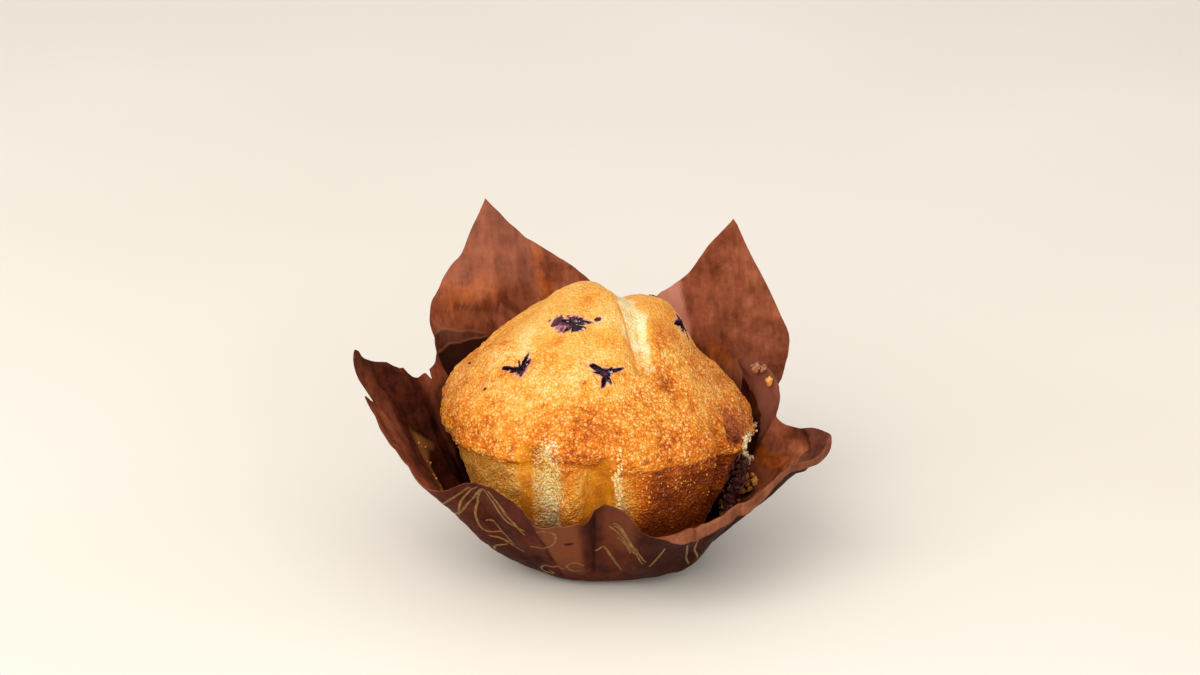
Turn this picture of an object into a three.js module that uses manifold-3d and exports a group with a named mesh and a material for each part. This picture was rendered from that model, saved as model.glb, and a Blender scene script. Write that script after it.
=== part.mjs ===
// A baked berry muffin sitting in an opened tulip case folded from one square sheet of baking paper.
// Millimetres, +Z up. The case stands on its flat base at z = 0, centred on the Z axis, front toward -Y.
import * as THREE from "three";
import Module from "manifold-3d";

const wasm = await Module();
wasm.setup();

// Overall sizes
const PAPER = 0.5; // thickness of the case wall
const GAP = 0.3; // clear space kept between pieces
const BASE_RADIUS = 21.0; // flat part of the case's base
const BERRY_RADIUS = 4.6; // a baked berry
const BERRY_DEPTH = 0.8; // how far a berry's top lies under the crust

// Mesh density
const CASE_COLUMNS = 120;
const WALL_ROWS = 10;
const LIP_ROWS = 3;
const MUFFIN_COLUMNS = 72;

const DEG = Math.PI / 180;
const wrap = (d) => ((((d + 180) % 360) + 360) % 360) - 180;
const clamp01 = (x) => Math.min(1, Math.max(0, x));
const bell = (d, w) => Math.exp(-((d / w) ** 2));

function step(a, b, x) {
  const t = clamp01((x - a) / (b - a));
  return t * t * (3 - 2 * t);
}

function softMax(a, b, k) {
  const h = clamp01(0.5 + (0.5 * (a - b)) / k);
  return b + (a - b) * h + k * h * (1 - h);
}

// Smooth monotone curve through rows [position, value, ..., sharp]; a sharp row keeps a corner.
// A ring curve closes on itself after 360 degrees.
function makeCurve(rows, column, sharpColumn, ring) {
  const turns = ring ? [-360, 0, 360] : [0];
  const at = turns.flatMap((turn) => rows.map((row) => row[0] + turn));
  const value = turns.flatMap(() => rows.map((row) => row[column]));
  const sharp = turns.flatMap(() => rows.map((row) => sharpColumn >= 0 && row[sharpColumn] === 1));
  const last = at.length - 1;
  const slope = [];
  for (let k = 0; k < last; k++) {
    slope.push((value[k + 1] - value[k]) / (at[k + 1] - at[k]));
  }
  const tangent = [slope[0]];
  for (let k = 1; k < last; k++) {
    const both = slope[k - 1] * slope[k];
    tangent.push(both > 0 ? (2 * both) / (slope[k - 1] + slope[k]) : 0);
  }
  tangent.push(slope[last - 1]);
  return (x) => {
    const p = ring ? ((x % 360) + 360) % 360 : x;
    let k = 0;
    while (k < last - 1 && at[k + 1] <= p) k++;
    const h = at[k + 1] - at[k];
    const t = clamp01((p - at[k]) / h);
    const m0 = sharp[k] ? slope[k] * 1.1 : tangent[k];
    const m1 = sharp[k + 1] ? slope[k] * 1.1 : tangent[k + 1];
    const t2 = t * t;
    const t3 = t2 * t;
    const ends = (2 * t3 - 3 * t2 + 1) * value[k] + (3 * t2 - 2 * t3) * value[k + 1];
    return ends + h * ((t3 - 2 * t2 + t) * m0 + (t3 - t2) * m1);
  };
}

// ---- Muffin ----
// Half section from the middle of the base round to the top: share of the way, radius, height.
const SECTION = [
  [0.0, 0.0, 0.8],
  [0.1, 21.5, 0.8],
  [0.14, 24.6, 2.0],
  [0.24, 30.0, 11.5],
  [0.35, 35.1, 22.0],
  [0.42, 37.3, 28.6],
  [0.47, 38.5, 32.0],
  [0.52, 39.8, 35.4],
  [0.57, 39.5, 38.8],
  [0.62, 37.0, 42.8],
  [0.7, 31.0, 48.9],
  [0.78, 24.6, 55.2],
  [0.86, 17.8, 61.2],
  [0.93, 10.8, 65.8],
  [1.0, 0.0, 68.2],
];
const sectionRadius = makeCurve(SECTION, 1, -1, false);
const sectionHeight = makeCurve(SECTION, 2, -1, false);

// Flutes pressed into the side by the folds of the case:
// azimuth, depth, width before and after it in degrees, share of the section it reaches up to.
const FLUTES = [
  [20, 1.8, 5, 5, 0.52],
  [75, 2.8, 6, 6, 0.56],
  [118, 2.4, 6, 6, 0.54],
  [160, 2.4, 6, 6, 0.54],
  [205, 1.6, 5, 5, 0.52],
  [247, 4.6, 6.5, 7, 0.6],
  [272, 4.2, 10, 2.6, 0.57],
  [326, 4.2, 5, 4, 0.64],
  [345, 2.6, 12, 12, 0.5],
];

// Open crack over the top, from the back to the front right.
const CRACK = [
  [-1.0, 26.0],
  [2.0, 15.0],
  [5.0, 5.0],
  [7.5, -5.0],
  [9.2, -14.5],
  [10.6, -22.5],
];
const CRACK_DEPTH = 2.4;
const CRACK_WIDTH = 4.2;

// Distance from the crack's line and share of the way along it.
function nearCrack(x, y) {
  let best = [1e9, 0];
  const legs = CRACK.length - 1;
  for (let k = 0; k < legs; k++) {
    const [ax, ay] = CRACK[k];
    const dx = CRACK[k + 1][0] - ax;
    const dy = CRACK[k + 1][1] - ay;
    const t = clamp01(((x - ax) * dx + (y - ay) * dy) / (dx * dx + dy * dy));
    const away = Math.hypot(x - ax - t * dx, y - ay - t * dy);
    if (away < best[0]) best = [away, (k + t) / legs];
  }
  return best;
}

// Extra height of the top: the left lobe, the right shoulder with the crust over the
// last berry, the dip between them.
function topRelief(x, y) {
  const leftLobe = 2.0 * bell(Math.hypot((x + 4) / 9, (y - 7) / 12), 1);
  const dip = -0.6 * bell(Math.hypot((x - 16) / 8, (y - 4) / 12), 1);
  const shoulder = 0.8 * bell(Math.hypot((x - 15) / 6, (y + 2) / 9), 1);
  const overBerry = 2.4 * bell(Math.hypot((x - 18) / 6, (y - 6) / 8), 1);
  const [away, along] = nearCrack(x, y);
  const width = CRACK_WIDTH - 2.0 * along;
  const depth = CRACK_DEPTH * step(0, 0.08, along) * (1 - step(0.86, 1, along));
  return leftLobe + dip + shoulder + overBerry - depth * Math.exp(-((away / width) ** 3));
}

function muffinPoint(azimuth, share) {
  const a = azimuth * DEG;
  const crown = step(0.34, 0.48, share) * (1 - step(0.72, 1, share));
  let r = sectionRadius(share);
  let z = sectionHeight(share) + crown * (2.2 * bell(wrap(azimuth - 265), 50) - 2.0 * Math.cos(a));
  for (const [at, depth, before, after, top] of FLUTES) {
    const d = wrap(azimuth - at);
    const reach = step(0.13, 0.28, share) * (1 - step(top - 0.07, top + 0.02, share));
    r -= depth * reach * bell(d, d < 0 ? before : after);
  }
  const lean = 1.2 * step(0.72, 0.85, share) - 1.3 * step(0.4, 0.55, share) - 0.6 * step(0.55, 0.72, share);
  const x = r * Math.cos(a) + lean;
  const y = r * Math.sin(a) + 1.5 * step(0.52, 1, share);
  z += step(0.55, 0.7, share) * topRelief(x, y);
  return new THREE.Vector3(x, y, z);
}

// ---- Case ----
// Rim of the opened sheet, round from the right: azimuth, distance from the axis, height, corner.
const RIM = [
  [2.0, 43.8, 35.0, 0], // foot of the rounded fold
  [5.0, 46.0, 38.6, 0],
  [9.0, 46.2, 41.0, 0],
  [13.5, 44.2, 44.2, 0],
  [20.0, 41.6, 45.4, 0], // top of the rounded fold
  [27.0, 39.6, 43.4, 0],
  [31.0, 54.4, 33.0, 0], // back right petal starts behind the fold
  [33.0, 58.2, 36.6, 0],
  [36.0, 60.8, 43.2, 0],
  [40.0, 59.4, 50.2, 0],
  [48.0, 51.4, 74.8, 1], // back right tip
  [54.5, 47.8, 66.0, 0],
  [60.0, 45.4, 58.6, 0],
  [69.0, 43.0, 53.4, 0],
  [73.0, 43.2, 50.6, 0],
  [85.0, 44.8, 48.6, 0], // back valley
  [104.2, 45.4, 61.4, 0],
  [115.7, 46.6, 69.4, 0],
  [129.0, 48.6, 81.2, 1], // back left tip
  [136.2, 49.1, 70.9, 0],
  [143.5, 50.4, 63.4, 0],
  [149.6, 51.4, 57.1, 0],
  [155.0, 49.5, 50.4, 0],
  [161.5, 44.4, 45.4, 0], // pocket between the left petals
  [170.5, 48.3, 43.1, 0],
  [176.5, 52.0, 48.0, 0],
  [183.0, 57.3, 51.6, 0],
  [189.0, 62.6, 58.6, 1], // left tip
  [194.5, 61.2, 51.2, 0],
  [203.0, 59.4, 42.6, 0],
  [215.0, 58.6, 37.2, 0],
  [226.0, 55.4, 31.6, 0],
  [233.7, 50.8, 35.6, 0], // front left wave
  [243.9, 45.7, 27.8, 0],
  [247.5, 45.8, 24.6, 0],
  [263.7, 42.8, 25.1, 0], // low front facet
  [270.8, 44.0, 31.3, 0], // front wave
  [277.6, 44.4, 28.9, 0],
  [285.0, 45.4, 22.4, 0], // lowest point of the rim
  [302.8, 50.0, 26.3, 0],
  [319.6, 50.9, 29.6, 0],
  [332.4, 52.9, 32.9, 0],
  [345.0, 57.6, 33.6, 0], // right corner, rolled over
  [351.6, 54.5, 35.2, 0],
  [358.8, 46.5, 33.4, 0],
];
const rimReach = makeCurve(RIM, 1, 3, true);
const rimHeight = makeCurve(RIM, 2, 3, true);

// Folds of the wall: azimuth at the rim and at the base, depth inward,
// width before and after the fold line in degrees, share of the wall where the fold starts.
const FOLDS = [
  [247, 252, 2.6, 9, 2.5, 0.15],
  [267, 266, 1.8, 3, 3, 0.25],
  [284.5, 280, 2.2, 5, 4, 0.2],
  [312, 300, 1.4, 8, 3, 0.2],
  [228, 238, 2.0, 3.5, 7, 0.2],
  [178, 200, 3.2, 4, 6, 0.25],
  [352, 335, 1.6, 4, 6, 0.3],
  [64, 66, 1.4, 2.5, 5, 0.3],
  [84, 84, 1.2, 5, 3, 0.3],
  [108, 100, -1.0, 6, 3, 0.3],
  [140, 132, 1.0, 6, 3, 0.3],
];
const FOLD_GROWTH = 0.9;

// Depth of a fold at angle d from its line: a crease with sloping sides.
function crease(d, before, after) {
  const t = clamp01(1 - (d < 0 ? -d / before : d / after));
  return t * t * (1.6 - 0.6 * t);
}

// Radius of the muffin's side at a height, without its flutes.
const SIDE = [];
for (let k = 0; k <= 42; k++) {
  const share = 0.1 + (0.42 * k) / 42;
  SIDE.push([sectionHeight(share) + 1e-6 * k, sectionRadius(share)]);
}
function sideRadius(z) {
  let k = 0;
  while (k < SIDE.length - 2 && SIDE[k + 1][0] < z) k++;
  const t = clamp01((z - SIDE[k][0]) / (SIDE[k + 1][0] - SIDE[k][0]));
  return SIDE[k][1] + t * (SIDE[k + 1][1] - SIDE[k][1]);
}

// Inner face of the wall as [radius, height]; share runs from the base's edge to the rim.
function wallAt(azimuth, share) {
  const reach = rimReach(azimuth);
  const height = rimHeight(azimuth);
  const tall = clamp01((height - 32) / 45);
  const pull = 0.36 + 0.1 * tall;
  const corner = BASE_RADIUS + 6.5 + 2.4 * Math.cos((azimuth - 310) * DEG);
  const beltRadius = 27 + (reach - 27) * (pull + 0.12 * tall);
  const beltHeight = PAPER + height * pull;
  const s = share;
  const b0 = (1 - s) ** 3;
  const b1 = 3 * s * (1 - s) ** 2;
  const b2 = 3 * s * s * (1 - s);
  const b3 = s ** 3;
  let r = b0 * BASE_RADIUS + b1 * corner + b2 * beltRadius + b3 * reach;
  const z = (b0 + b1) * PAPER + b2 * beltHeight + b3 * height;
  for (const [atRim, atBase, depth, before, after, start] of FOLDS) {
    const d = wrap(azimuth - atBase - (atRim - atBase) * s);
    r -= depth * clamp01((s - start) / (1 - start)) ** FOLD_GROWTH * crease(d, before, after);
  }
  r -= 2.0 * bell(wrap(azimuth - 157), 7) * step(0.35, 0.6, s) * (1 - step(0.86, 0.97, s));
  const clear = sideRadius(z) + 1.3 + 1.2 * tall - Math.max(0, z - 40) * 0.7;
  return [s > 0.02 ? softMax(r, clear, 1.2) : r, z];
}

// Band beyond the rim line: upright all round, rolled out and down along the front right.
const LIP_WIDTH = 0.7;
const ROLLED_WIDTH = 4.3;
const ROLL_TURN = 150 * DEG;
function lipAt(azimuth, share) {
  const [r1, z1] = wallAt(azimuth, 1);
  const [r0, z0] = wallAt(azimuth, 0.97);
  const rolled = step(283, 297, azimuth) * (1 - step(342, 350, azimuth));
  const width = LIP_WIDTH + ROLLED_WIDTH * rolled * (0.75 + 0.25 * Math.sin(azimuth * 5 * DEG));
  const start = Math.atan2(z1 - z0, r1 - r0);
  const parts = 12;
  let r = r1;
  let z = z1;
  for (let k = 0; k < parts; k++) {
    const angle = start - ROLL_TURN * rolled * step(0, 0.45, ((k + 0.5) / parts) * share);
    r += (Math.cos(angle) * width * share) / parts;
    z += (Math.sin(angle) * width * share) / parts;
  }
  return [r, z];
}

// One line of the section at an azimuth, from the base's edge over the wall to the end of the lip.
function sheetLine(azimuth) {
  const line = [];
  for (let k = 0; k <= WALL_ROWS; k++) {
    line.push(wallAt(azimuth, (k / WALL_ROWS) ** 1.15));
  }
  for (let k = 1; k <= LIP_ROWS; k++) {
    line.push(lipAt(azimuth, [0, 0.22, 0.46, 1][k]));
  }
  return line;
}

// The same line on the outer face, one paper thickness further out or down.
function outerLine(line, before, after) {
  return line.map(([r, z], k) => {
    const p = line[Math.max(0, k - 1)];
    const q = line[Math.min(line.length - 1, k + 1)];
    const length = Math.hypot(q[0] - p[0], q[1] - p[1]);
    const sideways = Math.hypot(after[k][0] - before[k][0], after[k][1] - before[k][1]);
    const across = (2 * r * 2 * Math.PI) / CASE_COLUMNS;
    const slant = Math.min(2.2, Math.hypot(1, sideways / across));
    const thick = k === 0 ? PAPER : PAPER * slant;
    const nr = k === 0 ? 0 : (q[1] - p[1]) / length;
    const nz = k === 0 ? -1 : -(q[0] - p[0]) / length;
    return [r + nr * thick, Math.max(0, z + nz * thick)];
  });
}

// Closed skin from rows of points round the axis, capped by one point at each end.
function closedSkin(rows, firstPole, lastPole) {
  const columns = rows[0].length;
  const points = [firstPole, ...rows.flat(), lastPole];
  const position = new Float32Array(points.flatMap((p) => [p.x, p.y, p.z]));
  const index = [];
  const at = (row, column) => 1 + row * columns + (column % columns);
  for (let c = 0; c < columns; c++) {
    index.push(0, at(0, c + 1), at(0, c));
    for (let row = 0; row < rows.length - 1; row++) {
      index.push(at(row, c), at(row, c + 1), at(row + 1, c + 1));
      index.push(at(row, c), at(row + 1, c + 1), at(row + 1, c));
    }
    index.push(at(rows.length - 1, c), at(rows.length - 1, c + 1), points.length - 1);
  }
  const geometry = new THREE.BufferGeometry();
  geometry.setAttribute("position", new THREE.BufferAttribute(position, 3));
  geometry.setIndex(index);
  return geometry;
}

function ringRow(columns, place) {
  return Array.from({ length: columns }, (_, c) => place((360 * c) / columns));
}

function makeCase() {
  const azimuths = Array.from({ length: CASE_COLUMNS }, (_, c) => (360 * c) / CASE_COLUMNS);
  const inner = azimuths.map((azimuth) => sheetLine(azimuth));
  const outer = inner.map((line, c) => {
    const before = inner[(c + CASE_COLUMNS - 1) % CASE_COLUMNS];
    const after = inner[(c + 1) % CASE_COLUMNS];
    return outerLine(line, before, after);
  });
  const rowsOf = (lines) =>
    lines[0].map((_, k) =>
      lines.map((line, c) => {
        const a = azimuths[c] * DEG;
        return new THREE.Vector3(line[k][0] * Math.cos(a), line[k][0] * Math.sin(a), line[k][1]);
      }),
    );
  const rows = [...rowsOf(outer), ...rowsOf(inner).reverse()];
  return closedSkin(rows, new THREE.Vector3(0, 0, 0), new THREE.Vector3(0, 0, PAPER));
}

function makeMuffinBody() {
  const shares = [0.1, 0.14, 0.19, 0.24, 0.29, 0.33, 0.37, 0.41, 0.44, 0.47, 0.5, 0.53, 0.56, 0.6, 0.64];
  for (let share = 0.68; share < 0.985; share += 0.035) shares.push(share);
  const rows = shares.map((share) => ringRow(MUFFIN_COLUMNS, (azimuth) => muffinPoint(azimuth, share)));
  return closedSkin(rows, muffinPoint(0, 0), muffinPoint(0, 1));
}

// ---- Berries ----
// Each berry lies just under the crust, which has burst open over it in a star of short arms.
// Middle of the opening on the crust, outward direction, arms as [angle, reach], width of the star's core.
const BERRIES = [
  {
    name: "berry_1",
    at: [-7.5, -10.0, 65.5],
    out: [-0.24, -0.41, 0.88],
    core: 1.7,
    arms: [[60, 2.0], [125, 3.6], [167, 4.8], [235, 3.8], [300, 2.3], [340, 4.8]],
  },
  {
    name: "berry_2",
    at: [-20.8, -16.2, 56.4],
    out: [-0.49, -0.38, 0.79],
    core: 1.2,
    arms: [[20, 3.3], [68, 4.4], [150, 4.5], [215, 1.6], [285, 2.7], [345, 3.0]],
  },
  {
    name: "berry_3",
    at: [0.6, -23.2, 57.3],
    out: [0.1, -0.63, 0.77],
    core: 1.5,
    arms: [[25, 4.6], [95, 1.9], [160, 4.6], [215, 2.4], [272, 3.8], [330, 2.3]],
  },
  {
    name: "berry_4",
    at: [19.3, 4.0, 59.1],
    out: [0.7, 0.1, 0.7],
    core: 1.4,
    arms: [[10, 3.2], [80, 3.4], [150, 2.6], [215, 2.7], [290, 3.0]],
  },
];

// Frame on the crust: x to the right, y up the slope, z outward.
function seatFrame(berry) {
  const out = new THREE.Vector3(...berry.out).normalize();
  const right = new THREE.Vector3(0, 1, 0).cross(out).normalize();
  const up = out.clone().cross(right);
  const frame = new THREE.Matrix4().makeBasis(right, up, out);
  return frame.setPosition(...berry.at);
}

// A round berry, a little flattened and dented, grown by the given amount.
function berryGeometry(berry, grow, seed) {
  const geometry = new THREE.IcosahedronGeometry(1, 2);
  const position = geometry.getAttribute("position");
  const p = new THREE.Vector3();
  for (let k = 0; k < position.count; k++) {
    p.fromBufferAttribute(position, k).normalize();
    const dents = Math.sin(p.x * 3.1 + seed) * Math.sin(p.y * 2.7 - seed) + 0.5 * Math.sin(p.z * 4.3 + 2 * seed);
    const r = BERRY_RADIUS * (1 + 0.045 * dents) + grow;
    position.setXYZ(k, p.x * r * 1.04, p.y * r * 0.98, p.z * r * 0.94);
  }
  geometry.translate(0, 0, -BERRY_RADIUS * 0.94 - BERRY_DEPTH);
  return geometry.applyMatrix4(seatFrame(berry));
}

// Star-shaped shaft from inside the berry's pocket out through the crust.
function starShaft(berry) {
  const arms = berry.arms;
  const shape = new THREE.Shape();
  arms.forEach(([angle, reach], k) => {
    const next = arms[(k + 1) % arms.length][0] + (k === arms.length - 1 ? 360 : 0);
    const valley = ((angle + next) / 2) * DEG;
    const left = (angle - 7) * DEG;
    const right = (angle + 7) * DEG;
    const end = reach * 0.96;
    if (k === 0) shape.moveTo(end * Math.cos(left), end * Math.sin(left));
    else shape.lineTo(end * Math.cos(left), end * Math.sin(left));
    shape.lineTo(reach * Math.cos(right), reach * Math.sin(right));
    shape.lineTo(berry.core * Math.cos(valley), berry.core * Math.sin(valley));
  });
  const depth = 8;
  const geometry = new THREE.ExtrudeGeometry(shape, { depth, bevelEnabled: false, steps: 1 });
  geometry.translate(0, 0, -BERRY_DEPTH - 2.4);
  return geometry.applyMatrix4(seatFrame(berry));
}

// ---- Joins and cuts ----
function toSolid(geometry) {
  const position = geometry.getAttribute("position");
  const index = geometry.getIndex();
  const count = index ? index.count : position.count;
  const seen = new Map();
  const vertices = [];
  const triangles = [];
  for (let k = 0; k < count; k++) {
    const v = index ? index.getX(k) : k;
    const p = [position.getX(v), position.getY(v), position.getZ(v)];
    const key = p.map((value) => Math.round(value * 1e4)).join(",");
    if (!seen.has(key)) {
      seen.set(key, vertices.length / 3);
      vertices.push(...p);
    }
    triangles.push(seen.get(key));
  }
  const mesh = new wasm.Mesh({
    numProp: 3,
    vertProperties: new Float32Array(vertices),
    triVerts: new Uint32Array(triangles),
  });
  return new wasm.Manifold(mesh);
}

function toGeometry(solid) {
  const mesh = solid.getMesh();
  const geometry = new THREE.BufferGeometry();
  geometry.setAttribute("position", new THREE.BufferAttribute(mesh.vertProperties, 3));
  geometry.setIndex(new THREE.BufferAttribute(mesh.triVerts, 1));
  return geometry;
}

function makeMuffin() {
  let solid = toSolid(makeMuffinBody());
  BERRIES.forEach((berry, k) => {
    solid = solid.subtract(toSolid(berryGeometry(berry, GAP, k + 1)));
    solid = solid.subtract(toSolid(starShaft(berry)));
  });
  return toGeometry(solid);
}

// ---- Model ----
const group = new THREE.Group();
group.name = "berry_muffin";

function addPart(name, geometry, color, roughness) {
  geometry.computeVertexNormals();
  const material = new THREE.MeshStandardMaterial({ color, roughness, metalness: 0 });
  material.name = name;
  const mesh = new THREE.Mesh(geometry, material);
  mesh.name = name;
  group.add(mesh);
}

addPart("muffin", makeMuffin(), 0xd08a3c, 0.7);
addPart("paper_case", makeCase(), 0x5a2f20, 0.75);
BERRIES.forEach((berry, k) => addPart(berry.name, berryGeometry(berry, 0, k + 1), 0x24152a, 0.35));

export default group;
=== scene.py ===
import itertools
import math

import bpy
import numpy as np
from mathutils.kdtree import KDTree
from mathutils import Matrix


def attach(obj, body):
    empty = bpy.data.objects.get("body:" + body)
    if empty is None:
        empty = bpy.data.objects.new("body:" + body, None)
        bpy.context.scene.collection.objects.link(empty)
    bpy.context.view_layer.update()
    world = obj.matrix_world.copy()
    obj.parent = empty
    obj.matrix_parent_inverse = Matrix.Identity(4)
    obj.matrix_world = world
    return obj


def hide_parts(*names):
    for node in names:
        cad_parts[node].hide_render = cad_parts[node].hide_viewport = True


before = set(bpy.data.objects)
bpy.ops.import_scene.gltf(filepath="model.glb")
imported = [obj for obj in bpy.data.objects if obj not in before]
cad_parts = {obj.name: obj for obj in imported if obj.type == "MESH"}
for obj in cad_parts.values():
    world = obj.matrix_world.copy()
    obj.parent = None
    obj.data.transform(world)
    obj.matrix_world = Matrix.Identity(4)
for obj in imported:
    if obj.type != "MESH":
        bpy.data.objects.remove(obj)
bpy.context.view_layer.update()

# ---------------------------------------------------------------------------
# Muffin: one baked piece. Its crown has risen over the side of the case and split
# along the top, and the folds of the case have pressed flutes into its side. Four
# berries lie in pockets under the crust, each below a torn star-shaped opening.
MM = 0.001  # all shapes below are worked out in millimetres

# Half section from the middle of the base round to the top: share of the way, radius, height
SECTION = [
    (0.00, 0.0, 0.8),
    (0.10, 21.5, 0.8),
    (0.14, 24.6, 2.0),
    (0.24, 30.0, 11.5),
    (0.35, 35.1, 22.0),
    (0.42, 37.3, 28.6),
    (0.47, 38.5, 32.0),
    (0.52, 39.8, 35.4),
    (0.57, 39.5, 38.8),
    (0.62, 37.0, 42.8),
    (0.70, 31.0, 48.9),
    (0.78, 24.6, 55.2),
    (0.86, 17.8, 61.2),
    (0.93, 10.8, 65.8),
    (1.00, 0.0, 68.2),
]
# Flutes: azimuth, depth, width before and after in degrees, share of the section they reach up to
FLUTES = [
    (20, 1.8, 5, 5, 0.52),
    (75, 2.8, 6, 6, 0.56),
    (118, 2.4, 6, 6, 0.54),
    (160, 2.4, 6, 6, 0.54),
    (205, 1.6, 5, 5, 0.52),
    (247, 4.6, 6.5, 7, 0.60),
    (272, 4.2, 10, 2.6, 0.57),
    (326, 4.2, 5, 4, 0.64),
    (345, 2.6, 12, 12, 0.50),
]
# Open crack over the top, from the back to the front right
CRACK = [(-1.0, 26.0), (2.0, 15.0), (5.0, 5.0), (7.5, -5.0), (9.2, -14.5), (10.6, -22.5)]
CRACK_DEPTH = 2.4
CRACK_WIDTH = 4.2
# Swells and dips of the crown, then those beside the crack: rise, middle x and y, spread in x and y
CROWN_SWELLS = [(2.0, -4, 7, 9, 12), (-0.6, 16, 4, 8, 12), (0.8, 15, -2, 6, 9)]
CRACK_SWELLS = [(2.4, 18, 6, 6, 8), (2.8, 16, 8, 4.8, 8), (1.5, 4, 1, 3, 6), (0.6, 9.5, 5, 4, 7)]
MUFFIN_COLUMNS = 420
# Bands of rows up the section, closest at the seam: share at the start, at the end, rows
ROW_BANDS = [(0.02, 0.135, 8), (0.135, 0.44, 56), (0.44, 0.60, 46)]
CROWN_BAND = (0.60, 0.985, 106)


def wrap(degrees):
    return (degrees + 180.0) % 360.0 - 180.0


def bell(distance, width):
    return np.exp(-((distance / width) ** 2))


def lopsided(distance, before, after):
    """Bell with a width of its own on each side."""
    return np.where(distance < 0, bell(distance, before), bell(distance, after))


def step(low, high, x):
    t = np.clip((x - low) / (high - low), 0, 1)
    return t * t * (3 - 2 * t)


def make_curve(rows, column, sharp_column=None, ring=False):
    """Smooth monotone curve through rows [position, value, ..., sharp]; a sharp row keeps a corner."""
    at = np.array([row[0] for row in rows], float)
    value = np.array([row[column] for row in rows], float)
    sharp = np.array([bool(sharp_column and row[sharp_column]) for row in rows])
    if ring:
        at = np.concatenate([at - 360, at, at + 360])
        value = np.tile(value, 3)
        sharp = np.tile(sharp, 3)
    width = np.diff(at)
    slope = np.diff(value) / width
    both = slope[:-1] * slope[1:]
    total = np.where(both > 0, slope[:-1] + slope[1:], 1)
    inside = np.where(both > 0, 2 * both / total, 0)
    tangent = np.concatenate([slope[:1], inside, slope[-1:]])

    def curve(x):
        x = np.asarray(x, float)
        x = x % 360.0 if ring else x
        k = np.clip(np.searchsorted(at, x, side="right") - 1, 0, len(at) - 2)
        t = np.clip((x - at[k]) / width[k], 0, 1)
        start = np.where(sharp[k], slope[k] * 1.1, tangent[k])
        end = np.where(sharp[k + 1], slope[k] * 1.1, tangent[k + 1])
        ends = (2 * t**3 - 3 * t**2 + 1) * value[k] + (3 * t**2 - 2 * t**3) * value[k + 1]
        return ends + width[k] * ((t**3 - 2 * t**2 + t) * start + (t**3 - t**2) * end)

    return curve


def noise(points, cell, seed):
    """Smooth uneven field from -1 to 1 with bumps about one cell wide."""
    q = np.asarray(points, float) / cell + seed * 17.31
    low = np.floor(q).astype(np.int64)
    f = q - low
    w = f * f * f * (f * (f * 6 - 15) + 10)
    total = np.zeros(q.shape[:-1])
    for corner in itertools.product((0, 1), repeat=3):
        h = low + np.array(corner)
        n = (h[..., 0] * 73856093) ^ (h[..., 1] * 19349663) ^ (h[..., 2] * 83492791) ^ (seed * 7919)
        n = (n ^ (n >> 13)) & 0x3FFFFFFF
        n = (n * ((n * n * 15731 + 789221) & 0x3FFFFFFF) + 1376312589) & 0x7FFFFFFF
        share = np.prod(np.where(np.array(corner) == 1, w, 1 - w), axis=-1)
        total += share * (n / 0x40000000 - 1)
    return total


def near_line(x, y, line):
    """Signed distance from a line of points, and the share of the way along it."""
    best = np.full(np.shape(x), 1e9)
    side = np.ones(np.shape(x))
    along = np.zeros(np.shape(x))
    legs = len(line) - 1
    for k in range(legs):
        (ax, ay), (bx, by) = line[k], line[k + 1]
        dx = bx - ax
        dy = by - ay
        t = np.clip(((x - ax) * dx + (y - ay) * dy) / (dx * dx + dy * dy), 0, 1)
        away = np.hypot(x - ax - t * dx, y - ay - t * dy)
        closer = away < best
        side = np.where(closer, np.where((x - ax) * dy - (y - ay) * dx < 0, -1, 1), side)
        along = np.where(closer, (k + t) / legs, along)
        best = np.where(closer, away, best)
    return best * side, along


def grid_normals(points):
    """Outward directions of a grid of points, columns round the axis in the second place."""
    across = np.roll(points, -1, 1) - np.roll(points, 1, 1)
    along = np.gradient(points, axis=0)
    normal = np.cross(across, along)
    return normal / np.maximum(np.linalg.norm(normal, axis=-1, keepdims=True), 1e-9)


def closed_grid_faces(rows, columns):
    """Faces of a closed skin: a first pole, rows round the axis, a last pole."""
    faces = []
    last = 1 + rows * columns
    for c in range(columns):
        d = (c + 1) % columns
        faces.append((0, 1 + d, 1 + c))
        faces.append((1 + (rows - 1) * columns + c, 1 + (rows - 1) * columns + d, last))
    row = np.arange(rows - 1)[:, None] * columns + 1
    c = np.arange(columns)[None, :]
    d = (c + 1) % columns
    quads = np.stack([row + c, row + d, row + columns + d, row + columns + c], -1).reshape(-1, 4)
    return faces + quads.tolist()


def add_object(name, points_mm, faces, smooth=True):
    mesh = bpy.data.meshes.new(name)
    mesh.from_pydata((np.asarray(points_mm) * MM).tolist(), [], faces)
    mesh.update()
    if smooth:
        mesh.shade_smooth()
    obj = bpy.data.objects.new(name, mesh)
    bpy.context.scene.collection.objects.link(obj)
    return obj


section_radius = make_curve(SECTION, 1)
section_height = make_curve(SECTION, 2)


def swelling(x, y, swells):
    total = 0
    for rise, middle_x, middle_y, wide, deep in swells:
        total = total + rise * bell(np.hypot((x - middle_x) / wide, (y - middle_y) / deep), 1)
    return total


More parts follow.
